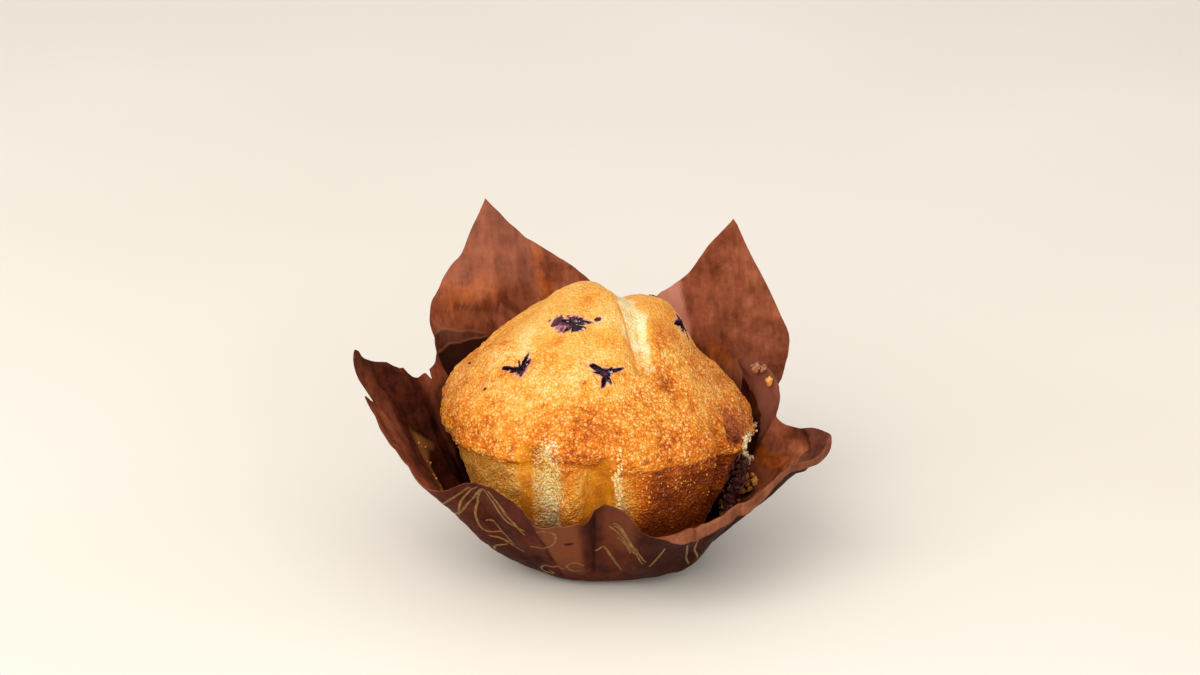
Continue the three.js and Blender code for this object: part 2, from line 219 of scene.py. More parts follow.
def muffin_points(azimuth, share):
    """Skin of the muffin without its crust's relief."""
    a = np.radians(azimuth)
    r = section_radius(share)
    z = section_height(share)
    crown = step(0.34, 0.48, share) * (1 - step(0.72, 1, share))
    z = z + crown * (2.2 * bell(wrap(azimuth - 265), 50) - 2.0 * np.cos(a))
    for at, depth, before, after, top in FLUTES:
        d = wrap(azimuth - at)
        reach = step(0.13, 0.28, share) * (1 - step(top - 0.07, top + 0.02, share))
        r = r - depth * reach * lopsided(d, before, after)
    lean = 1.2 * step(0.72, 0.85, share) - 1.3 * step(0.4, 0.55, share) - 0.6 * step(0.55, 0.72, share)
    x = r * np.cos(a) + lean
    y = r * np.sin(a) + 1.5 * step(0.52, 1, share)
    away, along = near_line(x, y, CRACK)
    width = CRACK_WIDTH - 2.0 * along
    depth = CRACK_DEPTH * step(0, 0.08, along) * (1 - step(0.86, 1, along))
    open_crack = depth * np.exp(-((np.abs(away) / width) ** 3))
    swell = swelling(x, y, CROWN_SWELLS) + swelling(x, y, CRACK_SWELLS)
    z = z + step(0.55, 0.7, share) * (swell - open_crack)
    return np.stack([x, y, z], -1)


def between(value, low, high, soft):
    return step(low - soft, low + soft, value) * (1 - step(high - soft, high + soft, value))


def torn_edge(points):
    """How far a torn edge wanders from its line."""
    return noise(points, 3.6, 20) + 0.8 * noise(points, 2.0, 21) + 0.6 * noise(points, 1.1, 22)


def crack_wall_shade(points):
    """Painted shade along the left wall of the crack, which widens toward the front."""
    away, along = near_line(points[..., 0], points[..., 1], CRACK)
    widening = step(0.74, 0.92, along)
    ridge = bell((away - 6.5 + 5.8 * along - 0.4 * widening) / (0.65 + 0.9 * widening), 1)
    return ridge * step(45, 50, points[..., 2]) * between(along, 0.50, 0.98, 0.05)


def crack_crumb(points):
    """Soft pale crumb laid open along the crack."""
    x, y, z = points[..., 0], points[..., 1], points[..., 2]
    wobble = torn_edge(points)
    away, along = near_line(x - 0.5, y, CRACK)
    left_reach = 3.3 - 0.6 * along
    right_reach = np.clip(2.8 - 3.6 * (0.78 - along), 1.2, 2.8)
    reach = np.where(away > 0, left_reach, right_reach)
    crumb = (1 - step(reach - 1.2, reach + 1.2, np.abs(away + 0.7 * wobble))) * step(45, 50, z)
    # Painted shade: the pale crumb is dimmed along a line near the middle of the crack's front part.
    crack_middle_shade = 0.45 * bell((away - 0.2 - 0.3 * wobble) / 0.55, 1) * between(along, 0.66, 0.92, 0.04)
    crumb = crumb * (1 - crack_middle_shade) * (1 - 0.35 * step(0.70, 0.84, along))
    return crumb * (1 - step(0.88, 0.98, along + 0.03 * wobble)) * (1 - 0.8 * crack_wall_shade(points))


def crumb_mask(points):
    """Where the pale inner crumb shows: in a front and a back flute, on a bank, by the right berry."""
    x, y, z = points[..., 0], points[..., 1], points[..., 2]
    azimuth = np.degrees(np.arctan2(y, x)) % 360
    front = step(-18, -24, y)
    wobble = torn_edge(points)
    flute_top = 45.0 - 0.35 * (x + 13.0) ** 2
    flute_left = 0.55 * step(-17.8, -16.2, x + 0.5 * wobble)
    flute_left = flute_left + 0.45 * step(-15.4, -13.4, x + 0.5 * wobble)
    flute_right = 1 - step(-11.4, -9.2, x + 0.6 * wobble)
    flute = flute_left * flute_right * front * step(3.0, -3.5, z + 1.5 * wobble - flute_top)
    browned = 0.75 * bell(np.hypot((x + 11.4) / 2.0, (z - 41) / 3.4), 1)
    flute = flute * (1 - browned) * (1 - 0.35 * step(26, 16, z))
    bank_left = 3.0 + 0.5 * wobble
    bank_width = 0.5 + 0.8 * step(40, 27, z) + 0.6 * wobble
    bank = step(0.2, 0.6, (x - bank_left) / 2) * (1 - step(0, 1.2, x - bank_left - bank_width))
    bank = bank * front * between(z + 1.5 * wobble, 10, 41.5, 2)
    torn = 0.35 * bell(np.linalg.norm(points - (20.5, 1.2, 59.0), axis=-1) / 3.2, 1)
    torn = torn * step(-0.5, 0.5, wobble)
    back = 0.7 * bell(wrap(azimuth - 76), 4) * between(z + wobble, 10, 40, 3)
    return np.clip(np.maximum.reduce([flute, bank, back, torn]), 0, 1)


def amber_mask(points):
    """Where the side has baked smooth and amber against the paper, with the painted shade along the crack's
    left wall.
    """
    x, y, z = points[..., 0], points[..., 1], points[..., 2]
    azimuth = np.degrees(np.arctan2(y, x)) % 360
    front = step(-18, -24, y)
    wobble = noise(points, 3.4, 23) + 0.5 * noise(points, 1.6, 24)
    left_bank = step(-22.5, -19.5, x + 0.7 * wobble) * (1 - step(-18, -16.4, x)) * front
    left_bank = left_bank * between(z + wobble, 14, 43, 2.5)
    wedge = -4.8 + 5.6 * step(33.5, 41.5, z)
    second = step(-0.8, 0.8, x + 0.6 * wobble - wedge) * (1 - step(2.6, 3.8, x + 0.3 * wobble)) * front
    second = second * between(z + wobble, 8, 42.0, 1.6)
    side = 0.6 * bell(wrap(azimuth - 118), 5) + 0.6 * bell(wrap(azimuth - 160), 5)
    sides = side * between(z, 8, 36, 4)
    return np.clip(left_bank + second + sides + 0.7 * crack_wall_shade(points), 0, 1)


# Seam where the crown hangs over the side: azimuth, share of the section
SEAM = [
    (10.0, 0.500),
    (60.0, 0.500),
    (120.0, 0.480),
    (170.0, 0.460),
    (193.0, 0.440),
    (216.0, 0.500),
    (229.0, 0.508),
    (240.0, 0.505),
    (250.0, 0.545),
    (262.0, 0.548),
    (270.0, 0.530),
    (277.0, 0.515),
    (286.0, 0.533),
    (309.0, 0.545),
    (329.0, 0.512),
    (345.0, 0.500),
]
LIP_OUT = 0.45
SEAM_DEPTH = 1.3
LONG_FLUTE = 0.55  # flutes that reach up past this share break the seam
# Crease where the right lobe has lapped over the crown: azimuth and share of its points
LOBE_CREASE = [
    (339.0, 0.665),
    (336.0, 0.640),
    (332.5, 0.612),
    (330.5, 0.580),
    (332.0, 0.548),
    (337.0, 0.520),
]
LOBE_AZIMUTH = 340.0
LOBE_DEGREE_MM = 0.62  # width of one degree there
SECTION_MM = 86.0  # length of the half section
column_azimuth = 360.0 * np.arange(MUFFIN_COLUMNS) / MUFFIN_COLUMNS
row_bands = [np.linspace(low, high, rows, endpoint=False) for low, high, rows in ROW_BANDS]
row_share = np.concatenate([*row_bands, np.linspace(*CROWN_BAND)])
share_grid, azimuth_grid = np.meshgrid(row_share, column_azimuth, indexing="ij")
seam_share = make_curve(SEAM, 1, ring=True)(azimuth_grid)
skin = muffin_points(azimuth_grid, share_grid)
outward = grid_normals(skin)
crumb = crumb_mask(skin)
crack = crack_crumb(skin)
smooth = amber_mask(skin)
flute = sum(
    lopsided(wrap(azimuth_grid - at), before, after)
    for at, _, before, after, top in FLUTES
    if top > LONG_FLUTE
)
above_base = step(0.11, 0.2, share_grid)
lumps = 0.45 * noise(skin, 14, 1) + 0.42 * noise(skin, 7, 2) + 0.26 * noise(skin, 3.6, 3)
around = np.stack([skin[..., 0], skin[..., 1], 0 * skin[..., 2]], -1)
seam_share = seam_share + 0.007 * noise(around, 6, 11) + 0.004 * noise(around, 2.6, 12)
edge = bell((share_grid - seam_share - 0.03) / 0.028, 1)
right_side = between(azimuth_grid, 283, 340, 6)
ragged_edge = edge * (LIP_OUT + 0.7 * noise(around, 5, 9) + 0.5 * noise(around, 2.4, 10))
ragged_edge = ragged_edge * (1 - np.clip(flute, 0, 1)) * (1 - 0.5 * right_side)
below_seam = share_grid - seam_share + 0.010
seam = lopsided(below_seam, 0.030, 0.011) * (1 - np.clip(1.2 * flute, 0, 1))
seam = seam * (0.45 + 0.55 * bell(wrap(azimuth_grid - 214), 26) - 0.2 * right_side)
lobe_across = wrap(azimuth_grid - LOBE_AZIMUTH) * LOBE_DEGREE_MM
lobe_line = [(wrap(a - LOBE_AZIMUTH) * LOBE_DEGREE_MM, b * SECTION_MM) for a, b in LOBE_CREASE]
lobe_away, lobe_along = near_line(lobe_across, share_grid * SECTION_MM, lobe_line)
fade = step(0, 0.25, lobe_along) * (1 - step(0.85, 1, lobe_along))
lobe_crease = bell(lobe_away / 0.9, 1) * fade
lobe_side = step(0, 0.9, -lobe_away) * bell(np.minimum(lobe_away, 0) / 6.0, 1) * fade
lobe_shade = np.maximum(0.5 * lobe_crease, lobe_side) * (0.55 + 0.45 * step(0.3, 0.8, lobe_along))
coarse = (1 - 0.55 * step(55, 64, skin[..., 2])) * (1 - 0.7 * lobe_side)
coarse = coarse * (1 - 0.4 * right_side * step(0.02, -0.02, share_grid - seam_share))
granules = coarse * (0.20 * noise(skin, 1.9, 4) + 0.20 * noise(skin, 1.15, 5))
pores = -0.16 * step(0.1, 0.6, noise(skin, 1.7, 6)) + 0.10 * noise(skin, 1.15, 7)
detail = granules * (1 - crumb) * (1 - 0.85 * smooth) * (1 - 0.6 * crack) + pores * crumb
relief = lumps * (1 - 0.4 * smooth) + ragged_edge - SEAM_DEPTH * seam
relief = relief - 1.2 * lobe_crease - 0.9 * lobe_side + detail
skin = skin + outward * (relief * above_base)[..., None]
# Painted shade: the hollows of the skin are drawn darker and its raised parts lighter.
shade_by_relief = detail + 0.5 * (lumps - 0.45 * noise(skin, 14, 1)) - 0.3 * lobe_crease
bottom = muffin_points(np.array([0.0]), np.array([0.0]))
top = muffin_points(np.array([0.0]), np.array([1.0]))
top[0, 2] = skin[-1, :, 2].mean() + 0.02
muffin = add_object(
    "muffin_baked",
    np.concatenate([bottom, skin.reshape(-1, 3), top]),
    closed_grid_faces(*skin.shape[:2]),
)

# Berries under the crust: where the berry lies, outward direction, middle of the torn opening
# beside that point, and its arms as (angle, reach, half width in degrees)
BERRY_RADIUS = 4.6
BERRY_DEPTH = 0.8
BERRIES = [
    {
        "node": "berry_1",
        "at": (-7.5, -10.0, 65.5),
        "out": (-0.24, -0.41, 0.88),
        "middle": (0.5, 0.1),
        "core": 1.25,
        "arms": [
            (345, 3.6, 13), (24, 2.0, 14), (62, 1.7, 12), (112, 2.1, 11),
            (158, 3.3, 13), (222, 3.2, 10), (282, 1.7, 14),
        ],
    },
    {
        "node": "berry_2",
        "at": (-20.8, -16.2, 56.4),
        "out": (-0.49, -0.38, 0.79),
        "middle": (0.1, -1.9),
        "core": 0.75,
        "arms": [
            (28, 2.9, 14), (50, 3.6, 11), (82, 3.6, 4), (136, 5.8, 10),
            (156, 3.4, 9), (262, 1.7, 14), (325, 1.3, 16),
        ],
    },
    {
        "node": "berry_3",
        "at": (0.6, -23.2, 57.3),
        "out": (0.1, -0.63, 0.77),
        "middle": (0.3, -0.2),
        "core": 1.0,
        "arms": [
            (31, 4.5, 13), (52, 2.2, 9), (153, 4.7, 15),
            (184, 2.4, 10), (264, 3.9, 14), (300, 2.2, 12),
        ],
    },
    {
        "node": "berry_4",
        "at": (19.3, 4.0, 59.1),
        "out": (0.7, 0.1, 0.7),
        "middle": (0.2, -0.6),
        "core": 1.2,
        "arms": [
            (10, 3.0, 15), (80, 2.6, 15), (150, 2.2, 15),
            (238, 4.4, 16), (285, 3.0, 14), (328, 3.9, 13),
        ],
    },
]


def axes_facing(out):
    """Directions as rows: right, up the slope, outward."""
    right = np.cross((0, 1, 0), out)
    right = right / np.linalg.norm(right)
    return np.stack([right, np.cross(out, right), out])


def seat_axes(berry):
    """Directions on the crust over a berry."""
    out = np.array(berry["out"])
    return axes_facing(out / np.linalg.norm(out))


def star_reach(berry, angle, seed):
    """Distance from the middle to the torn edge of the opening at each angle in degrees."""
    reach = np.full(np.shape(angle), float(berry["core"]))
    for at, length, width in berry["arms"]:
        arm = np.exp(-((np.abs(wrap(angle - at)) / width) ** 2.2))
        reach = np.maximum(reach, berry["core"] + (length - berry["core"]) * arm)
    ring = np.stack([np.cos(np.radians(angle)), np.sin(np.radians(angle)), 0 * angle], -1)
    return reach * (1 + 0.20 * noise(ring, 0.20, seed) + 0.16 * noise(ring, 0.09, seed + 1))


def on_crust(berry, local):
    """Points given as right, up and outward from the middle of a berry's opening."""
    return np.array(berry["at"]) + np.asarray(local) @ seat_axes(berry)


def ball_points(rows, columns):
    """Unit ball as poles and rows, lowest first."""
    rise = np.pi * np.arange(1, rows + 1) / (rows + 1) - np.pi / 2
    turn = 2 * np.pi * np.arange(columns) / columns
    rise, turn = np.meshgrid(rise, turn, indexing="ij")
    ring = np.stack([np.cos(rise) * np.cos(turn), np.cos(rise) * np.sin(turn), np.sin(rise)], -1)
    return np.concatenate([[(0, 0, -1)], ring.reshape(-1, 3), [(0, 0, 1)]])


def berry_points(berry, unit, grow, seed):
    x, y, z = unit[:, 0], unit[:, 1], unit[:, 2]
    dents = np.sin(x * 3.1 + seed) * np.sin(y * 2.7 - seed) + 0.5 * np.sin(z * 4.3 + 2 * seed)
    r = BERRY_RADIUS * (1 + 0.045 * dents) + grow
    local = unit * np.stack([r * 1.04, r * 0.98, r * 0.94], -1)
    local[:, 2] -= BERRY_RADIUS * 0.94 + BERRY_DEPTH
    return on_crust(berry, local)


def cut_away(target, cutter):
    """Takes the cutter's form out of the target and drops the cutter."""
    modifier = target.modifiers.new("cut", "BOOLEAN")
    modifier.operation = "DIFFERENCE"
    modifier.solver = "MANIFOLD"
    modifier.object = cutter
    graph = bpy.context.evaluated_depsgraph_get()
    cut = bpy.data.meshes.new_from_object(target.evaluated_get(graph))
    target.modifiers.remove(modifier)
    target.data = cut
    bpy.data.objects.remove(cutter)


POCKET_GRID = (14, 24)
POCKET_ROOM = 0.3  # gap left round the berry
STAR_POINTS = 144
STAR_SEED = 31
SHAFT_DEPTH = 3.2
SHAFT_TOP = 4.0
star_angle = 360.0 * np.arange(STAR_POINTS) / STAR_POINTS
star_turn = np.stack([np.cos(np.radians(star_angle)), np.sin(np.radians(star_angle))], -1)
for k, berry in enumerate(BERRIES):
    pocket = berry_points(berry, ball_points(*POCKET_GRID), POCKET_ROOM, k + 1)
    cut_away(muffin, add_object("pocket", pocket, closed_grid_faces(*POCKET_GRID)))
    star = star_reach(berry, star_angle, STAR_SEED + k)[:, None] * star_turn
    levels = [(0.8, -SHAFT_DEPTH), (1.25, SHAFT_TOP)]
    rings = [np.concatenate([star * scale, np.full((STAR_POINTS, 1), z)], -1) for scale, z in levels]
    shaft = np.concatenate([[(0, 0, -SHAFT_DEPTH)], *rings, [(0, 0, SHAFT_TOP)]])
    shaft = on_crust(berry, shaft + (*berry["middle"], 0))
    cut_away(muffin, add_object("shaft", shaft, closed_grid_faces(2, STAR_POINTS)))
muffin.data.shade_smooth()
muffin.data.set_sharp_from_angle(angle=math.radians(48))

# Small drops of juice on the crust: middle, size
JUICE_DOTS = [
    ((-1.0, -9.9, 66.4), 0.85),
    ((-33.7, 1.3, 49.7), 0.5),
    ((-29.4, -16.5, 50.1), 0.42),
    ((13.5, 9.0, 67.8), 1.0),
]
# Patches of the crust: middle, radius, how much lighter (or, below nought, more deeply baked; the last two
# are painted shade instead)
CRUST_PATCHES = [
    ((-3.5, -1.8, 68.2), 2.2, -0.14),
    ((-11.0, -13.5, 62.5), 1.8, -0.20),
    ((2.7, -16.0, 62.3), 2.4, -0.16),
    ((-24.5, -4.7, 57.5), 1.8, -0.18),
    ((-22.6, -7.5, 57.0), 1.6, -0.14),
    ((13.4, 1.7, 64.6), 4.0, -0.06),
    ((15.5, -7.5, 61.5), 5.5, -0.20),
    ((15.0, -20.0, 52.1), 4.5, -0.16),
    ((22.0, -14.0, 53.0), 4.0, -0.04),
    ((-18.1, -6.8, 62.0), 4.0, 0.10),
    ((-0.5, -6.2, 67.2), 3.6, 0.10),
    ((-19.8, -12.4, 58.4), 2.6, 0.20),
    ((-25.0, -14.0, 53.0), 8.0, 0.08),
    ((-0.5, -20.0, 60.3), 2.2, 0.18),
    ((2.5, -9.5, 64.8), 3.0, 0.16),
    ((-6.0, -27.0, 54.8), 3.2, 0.10),
    ((-4.5, -25.9, 55.8), 0.55, -0.75),
    ((-7.6, -38.0, 36.4), 2.8, -0.22),
    ((-2.0, -33.5, 46.5), 7.0, -0.14),
    ((-18.0, -27.0, 50.0), 9.0, 0.12),
    ((2.0, -27.0, 54.0), 7.0, 0.10),
    # painted shade: darker at the notch by the right lobe and along the crown's right edge
    ((34.0, -14.5, 42.0), 4.0, -0.22),
    ((38.0, -7.0, 41.5), 5.0, -0.12),
]


def stain_mask(points):
    """Purple juice soaked into the crumb round each opening."""
    total = np.zeros(len(points))
    for k, berry in enumerate(BERRIES):
        local = (points - np.array(berry["at"])) @ seat_axes(berry).T - (*berry["middle"], 0)
        angle = np.degrees(np.arctan2(local[:, 1], local[:, 0])) % 360
        beyond = np.hypot(local[:, 0], local[:, 1]) - star_reach(berry, angle, STAR_SEED + k)
        near = (local[:, 2] > -9) & (local[:, 2] < 5)
        spread = 0.58 + 0.50 * noise(points, 1.5, 40 + k)
        darkened = np.exp(-np.clip(beyond, 0, 99) / np.maximum(spread, 0.12))
        total = np.maximum(total, np.where(near, darkened, 0))
    # Pulp of the first berry pressed up through the crust beside its opening
    pulp = np.linalg.norm((points - (-10.6, -8.8, 64.8)) / (2.3, 2.9, 3.0), axis=1)
    pulp = pulp + 0.45 * noise(points, 1.3, 46) + 0.35 * noise(points, 0.8, 47)
    total = np.maximum(total, step(1.15, 0.85, pulp) * (0.56 + 0.34 * noise(points, 1.0, 48)))
    for (x, y, z), size in JUICE_DOTS:
        away = np.linalg.norm(points - (x, y, z), axis=1) / size
        total = np.maximum(total, 0.85 * np.exp(-np.clip(away - 0.7, 0, 99) * 2.6))
    # Dark juice rubbed on the side at the right, where the paper has pulled away
    azimuth = np.degrees(np.arctan2(points[:, 1], points[:, 0]))
    rubbed = bell(wrap(azimuth + 4), 8) * between(points[:, 2], 11, 26, 3)
    return np.maximum(total, rubbed * (0.62 + 0.5 * noise(points, 2.2, 49)))


def bake_and_shade_mask(points, azimuth, share, seam_at, shade):
    """How light the crust is: 0 dark brown, 1 pale gold. Besides the bake, it holds painted shade."""
    x, y, z = points[:, 0], points[:, 1], points[:, 2]
    pale = np.hypot(np.hypot((x + 7) / 25, (y + 10) / 22), (z - 62) / 20)
    crown = 0.535 + 0.11 * np.exp(-(pale**2)) + 0.08 * step(52, 64, z)
    crown = crown - 0.10 * bell((share - seam_at - 0.05) / 0.09, 1)
    # Painted shade: the right side of the body is darker; the rest of the side is darker toward the bottom.
    shaded = between(azimuth, 284, 356, 6) * step(6, 24, z) ** 0.5
    side = 0.67 - 0.53 * shaded - 0.26 * step(26, 6, z) * (1 - shaded)
    side = side - 0.10 * bell(wrap(azimuth - 256), 7)
    value = side + (crown - side) * step(-0.012, 0.006, share - seam_at + 0.004 * noise(points, 2.4, 50))
    # Painted shade: a dark band just under the crown's edge, weaker at the right with a lighter band below
    # it there, and painted shade by the right lobe.
    right = between(azimuth, 283, 338, 6)
    value = value - 0.22 * (1 - 0.6 * right) * bell((share - seam_at + 0.010) / 0.016, 1)
    value = value + 0.10 * right * bell((share - seam_at + 0.020) / 0.030, 1) - 0.44 * shade
    for place, radius, lighter in CRUST_PATCHES:
        away = np.linalg.norm(points - place, axis=1) / radius + 0.3 * noise(points, 2.2, 53)
        value = value + lighter * np.exp(-np.clip(away, 0, 9) ** 2)
    return value + 0.04 * noise(points, 8, 51) + 0.05 * noise(points, 3.6, 52)


def store(obj, name, values):
    attribute = obj.data.attributes.new(name, "FLOAT", "POINT")
    attribute.data.foreach_set("value", np.asarray(values, np.float32))


def mesh_points(obj):
    points = np.empty(len(obj.data.vertices) * 3, np.float32)
    obj.data.vertices.foreach_get("co", points)
    return points.reshape(-1, 3).astype(float) / MM


def search_tree(points):
    """Tree that finds which of the points is nearest to a place."""
    tree = KDTree(len(points))
    for k, point in enumerate(points.tolist()):
        tree.insert(point, k)
    tree.balance()
    return tree


def from_grid(points, grid_points, fields):
    """Values of the fields at the grid point nearest to each point."""
    tree = search_tree(grid_points)
    nearest = np.array([tree.find(point)[1] for point in points.tolist()])
    return [field.reshape(-1)[nearest] for field in fields]


muffin_skin = mesh_points(muffin)
skin_fields = [azimuth_grid, share_grid, seam_share, shade_by_relief, lobe_shade, coarse]
azimuth_at, share_at, seam_at, shade_by_relief_at, shade_at, coarse_at = from_grid(
    muffin_skin, skin.reshape(-1, 3), skin_fields
)
store(muffin, "bake_and_shade", bake_and_shade_mask(muffin_skin, azimuth_at, share_at, seam_at, shade_at))
store(muffin, "crumb", crumb_mask(muffin_skin))
store(muffin, "crack", crack_crumb(muffin_skin))
store(muffin, "amber", amber_mask(muffin_skin))
store(muffin, "stain", stain_mask(muffin_skin))
store(muffin, "relief_shade", shade_by_relief_at)
under_crown = step(0.01, -0.01, share_at - seam_at)
store(muffin, "coarse", 0.2 + 0.7 * coarse_at * (1 - 0.38 * under_crown))


def paint(red, green, blue):
    """A colour as seen on paper, 0 to 255, turned to the light values a shader takes."""
    seen = np.array([red, green, blue]) / 255
    light = np.where(seen <= 0.04045, seen / 12.92, ((seen + 0.055) / 1.055) ** 2.4)
    return (*[float(v) for v in light], 1.0)


def new_material(name):
    material = bpy.data.materials.new(name)
    material.use_nodes = True
    tree = material.node_tree
    tree.nodes.clear()
    shader = tree.nodes.new("ShaderNodeBsdfPrincipled")
    output = tree.nodes.new("ShaderNodeOutputMaterial")
    tree.links.new(shader.outputs["BSDF"], output.inputs["Surface"])
    return material, tree, shader


def attribute_node(tree, name):
    node = tree.nodes.new("ShaderNodeAttribute")
    node.attribute_name = name
    return node.outputs["Fac"]


def noise_node(tree, scale, detail=3.0, roughness=0.55, stretch=None):
    """Uneven field over the piece; scale is in bumps per metre."""
    place = tree.nodes.new("ShaderNodeTexCoord").outputs["Object"]
    if stretch:
        mapping = tree.nodes.new("ShaderNodeMapping")
        mapping.inputs["Scale"].default_value = stretch
        tree.links.new(place, mapping.inputs["Vector"])
        place = mapping.outputs["Vector"]
    node = tree.nodes.new("ShaderNodeTexNoise")
    node.inputs["Scale"].default_value = scale
    node.inputs["Detail"].default_value = detail
    node.inputs["Roughness"].default_value = roughness
    tree.links.new(place, node.inputs["Vector"])
    return node.outputs["Fac"]


def cell_node(tree, scale, uneven=0.0):
    """Grains packed over the piece: distance from each grain's middle, and a chance value per grain."""
    place = tree.nodes.new("ShaderNodeTexCoord").outputs["Object"]
    if uneven:
        shift = tree.nodes.new("ShaderNodeTexNoise")
        shift.inputs["Scale"].default_value = scale * 0.6
        tree.links.new(place, shift.inputs["Vector"])
        moved = tree.nodes.new("ShaderNodeVectorMath")
        moved.operation = "MULTIPLY_ADD"
        moved.inputs[1].default_value = (uneven / scale,) * 3
        tree.links.new(shift.outputs["Color"], moved.inputs[0])
        tree.links.new(place, moved.inputs[2])
        place = moved.outputs["Vector"]
    node = tree.nodes.new("ShaderNodeTexVoronoi")
    node.inputs["Scale"].default_value = scale
    tree.links.new(place, node.inputs["Vector"])
    chance = tree.nodes.new("ShaderNodeSeparateColor")
    tree.links.new(node.outputs["Color"], chance.inputs["Color"])
    return node.outputs["Distance"], chance.outputs[0]


def plug(tree, socket, value):
    """Joins a socket to another one, or sets it to a plain value."""
    if isinstance(value, bpy.types.NodeSocket):
        tree.links.new(value, socket)
    else:
        socket.default_value = value


def maths(tree, operation, a, b=0.0, c=0.0):
    node = tree.nodes.new("ShaderNodeMath")
    node.operation = operation
    plug(tree, node.inputs[0], a)
    plug(tree, node.inputs[1], b)
    plug(tree, node.inputs[2], c)
    return node.outputs[0]


def weighted(tree, total, *fields):
    """The total plus each (field, weight)."""
    for field, weight in fields:
        total = maths(tree, "MULTIPLY_ADD", field, weight, total)
    return total


def remap(tree, value, from_low, from_high, to_low=0.0, to_high=1.0):
    node = tree.nodes.new("ShaderNodeMapRange")
    node.inputs["From Min"].default_value = from_low
    node.inputs["From Max"].default_value = from_high
    node.inputs["To Min"].default_value = to_low
    node.inputs["To Max"].default_value = to_high
    tree.links.new(value, node.inputs["Value"])
    return node.outputs["Result"]


def blend(tree, share, a, b):
    node = tree.nodes.new("ShaderNodeMix")
    node.data_type = "RGBA"
    plug(tree, node.inputs["Factor"], share)
    plug(tree, node.inputs["A"], a)
    plug(tree, node.inputs["B"], b)
    return node.outputs["Result"]


def layered(tree, colour, layers):
    """Lays each (share, colour) over the ones before it."""
    for share, over in layers:
        colour = blend(tree, share, colour, over)
    return colour


def ramp(tree, value, stops):
    """Colour that runs through the stops, each given as (place, red, green, blue)."""
    node = tree.nodes.new("ShaderNodeValToRGB")
    elements = node.color_ramp.elements
    while len(elements) < len(stops):
        elements.new(0.5)
    for element, (place, *colour) in zip(elements, stops):
        element.position = place
        element.color = paint(*colour)
    tree.links.new(value, node.inputs["Fac"])
    return node.outputs["Color"]


def coat(tree, shader, colour, roughness):
    plug(tree, shader.inputs["Base Color"], colour)
    plug(tree, shader.inputs["Roughness"], roughness)


def bump(tree, shader, height, distance, strength=1.0, under=None):
    node = tree.nodes.new("ShaderNodeBump")
    node.inputs["Distance"].default_value = distance
    node.inputs["Strength"].default_value = strength
    tree.links.new(height, node.inputs["Height"])
    if under is not None:
        tree.links.new(under, node.inputs["Normal"])
    tree.links.new(node.outputs["Normal"], shader.inputs["Normal"])
    return node.outputs["Normal"]


material, tree, shader = new_material("baked_crust")
speckle = noise_node(tree, 1100, 4.0, 0.62)
patches = noise_node(tree, 240, 3.0, 0.6)
away, chance = cell_node(tree, 1400, 1.1)
grain = remap(tree, away, 0.12, 0.72, 1.0, 0.0)
relief_shade = attribute_node(tree, "relief_shade")
coarse = attribute_node(tree, "coarse")
bake_and_shade = attribute_node(tree, "bake_and_shade")
stain = attribute_node(tree, "stain")
amber_mark = attribute_node(tree, "amber")
# Painted highlight and shade: grain tops and raised parts of the skin are drawn lighter, hollows darker.
uneven = weighted(tree, -0.60, (speckle, 0.42), (patches, 0.30), (grain, 0.32), (chance, 0.22))
uneven = weighted(tree, uneven, (relief_shade, 0.34))
tone = maths(tree, "MULTIPLY_ADD", uneven, coarse, bake_and_shade)
CRUST_TONES = [
    (0.00, 94, 34, 2),
    (0.14, 136, 57, 2),
    (0.30, 190, 92, 6),
    (0.44, 216, 121, 18),
    (0.58, 231, 153, 50),
    (0.74, 240, 180, 84),
    (0.95, 246, 214, 146),
]
CREAM_TONES = [
    (0.24, 168, 116, 30),
    (0.34, 224, 172, 62),
    (0.46, 252, 212, 116),
    (0.62, 255, 232, 158),
    (0.92, 255, 246, 206),
]
SOFT_CREAM_TONES = [(0.34, 232, 188, 108), (0.54, 244, 214, 150), (0.80, 251, 234, 192)]
AMBER_TONES = [(0.34, 186, 104, 0), (0.52, 206, 126, 2), (0.70, 230, 156, 24)]
STAIN_TONES = [(0.10, 232, 184, 146), (0.34, 190, 126, 132), (0.60, 96, 38, 62), (0.9, 36, 12, 26)]
crust = ramp(tree, tone, CRUST_TONES)
amber = ramp(tree, noise_node(tree, 260, 3.0, 0.5), AMBER_TONES)
# Painted shade in the cream as well: its grain tops and raised parts lighter.
cream_tone = weighted(tree, noise_node(tree, 1300, 3.0, 0.6), (grain, 0.5), (relief_shade, 0.8))
cream = ramp(tree, cream_tone, CREAM_TONES)
soft_cream = ramp(tree, weighted(tree, patches, (grain, 0.25)), SOFT_CREAM_TONES)
purple_tone = maths(tree, "SUBTRACT", speckle, 0.5)
purple = ramp(tree, weighted(tree, stain, (purple_tone, 1.0)), STAIN_TONES)
# Painted highlights: pale glints on single grains, most on the browned parts
grain_glints = remap(tree, weighted(tree, chance, (grain, 0.35)), 0.92, 1.16, 0.0, 0.56)
grain_glints = maths(tree, "MULTIPLY", grain_glints, remap(tree, coarse, 0.5, 0.9))
grain_glints = maths(tree, "MULTIPLY", grain_glints, remap(tree, bake_and_shade, 0.24, 0.48, 0.25, 1.0))
amber_share = weighted(tree, amber_mark, (speckle, 0.5))
opened = weighted(tree, attribute_node(tree, "crack"), (speckle, 0.6), (patches, 0.9))
ragged = weighted(tree, attribute_node(tree, "crumb"), (grain, 0.45), (speckle, 0.8))
stain_share = weighted(tree, stain, (speckle, 0.7))
layers = [
    (remap(tree, amber_share, 0.5, 1.1, 0.0, 0.9), amber),
    (grain_glints, paint(252, 204, 140)),
    (remap(tree, opened, 0.90, 1.60), soft_cream),
    (remap(tree, ragged, 0.80, 1.50), cream),
    (remap(tree, stain_share, 0.44, 0.80), purple),
]
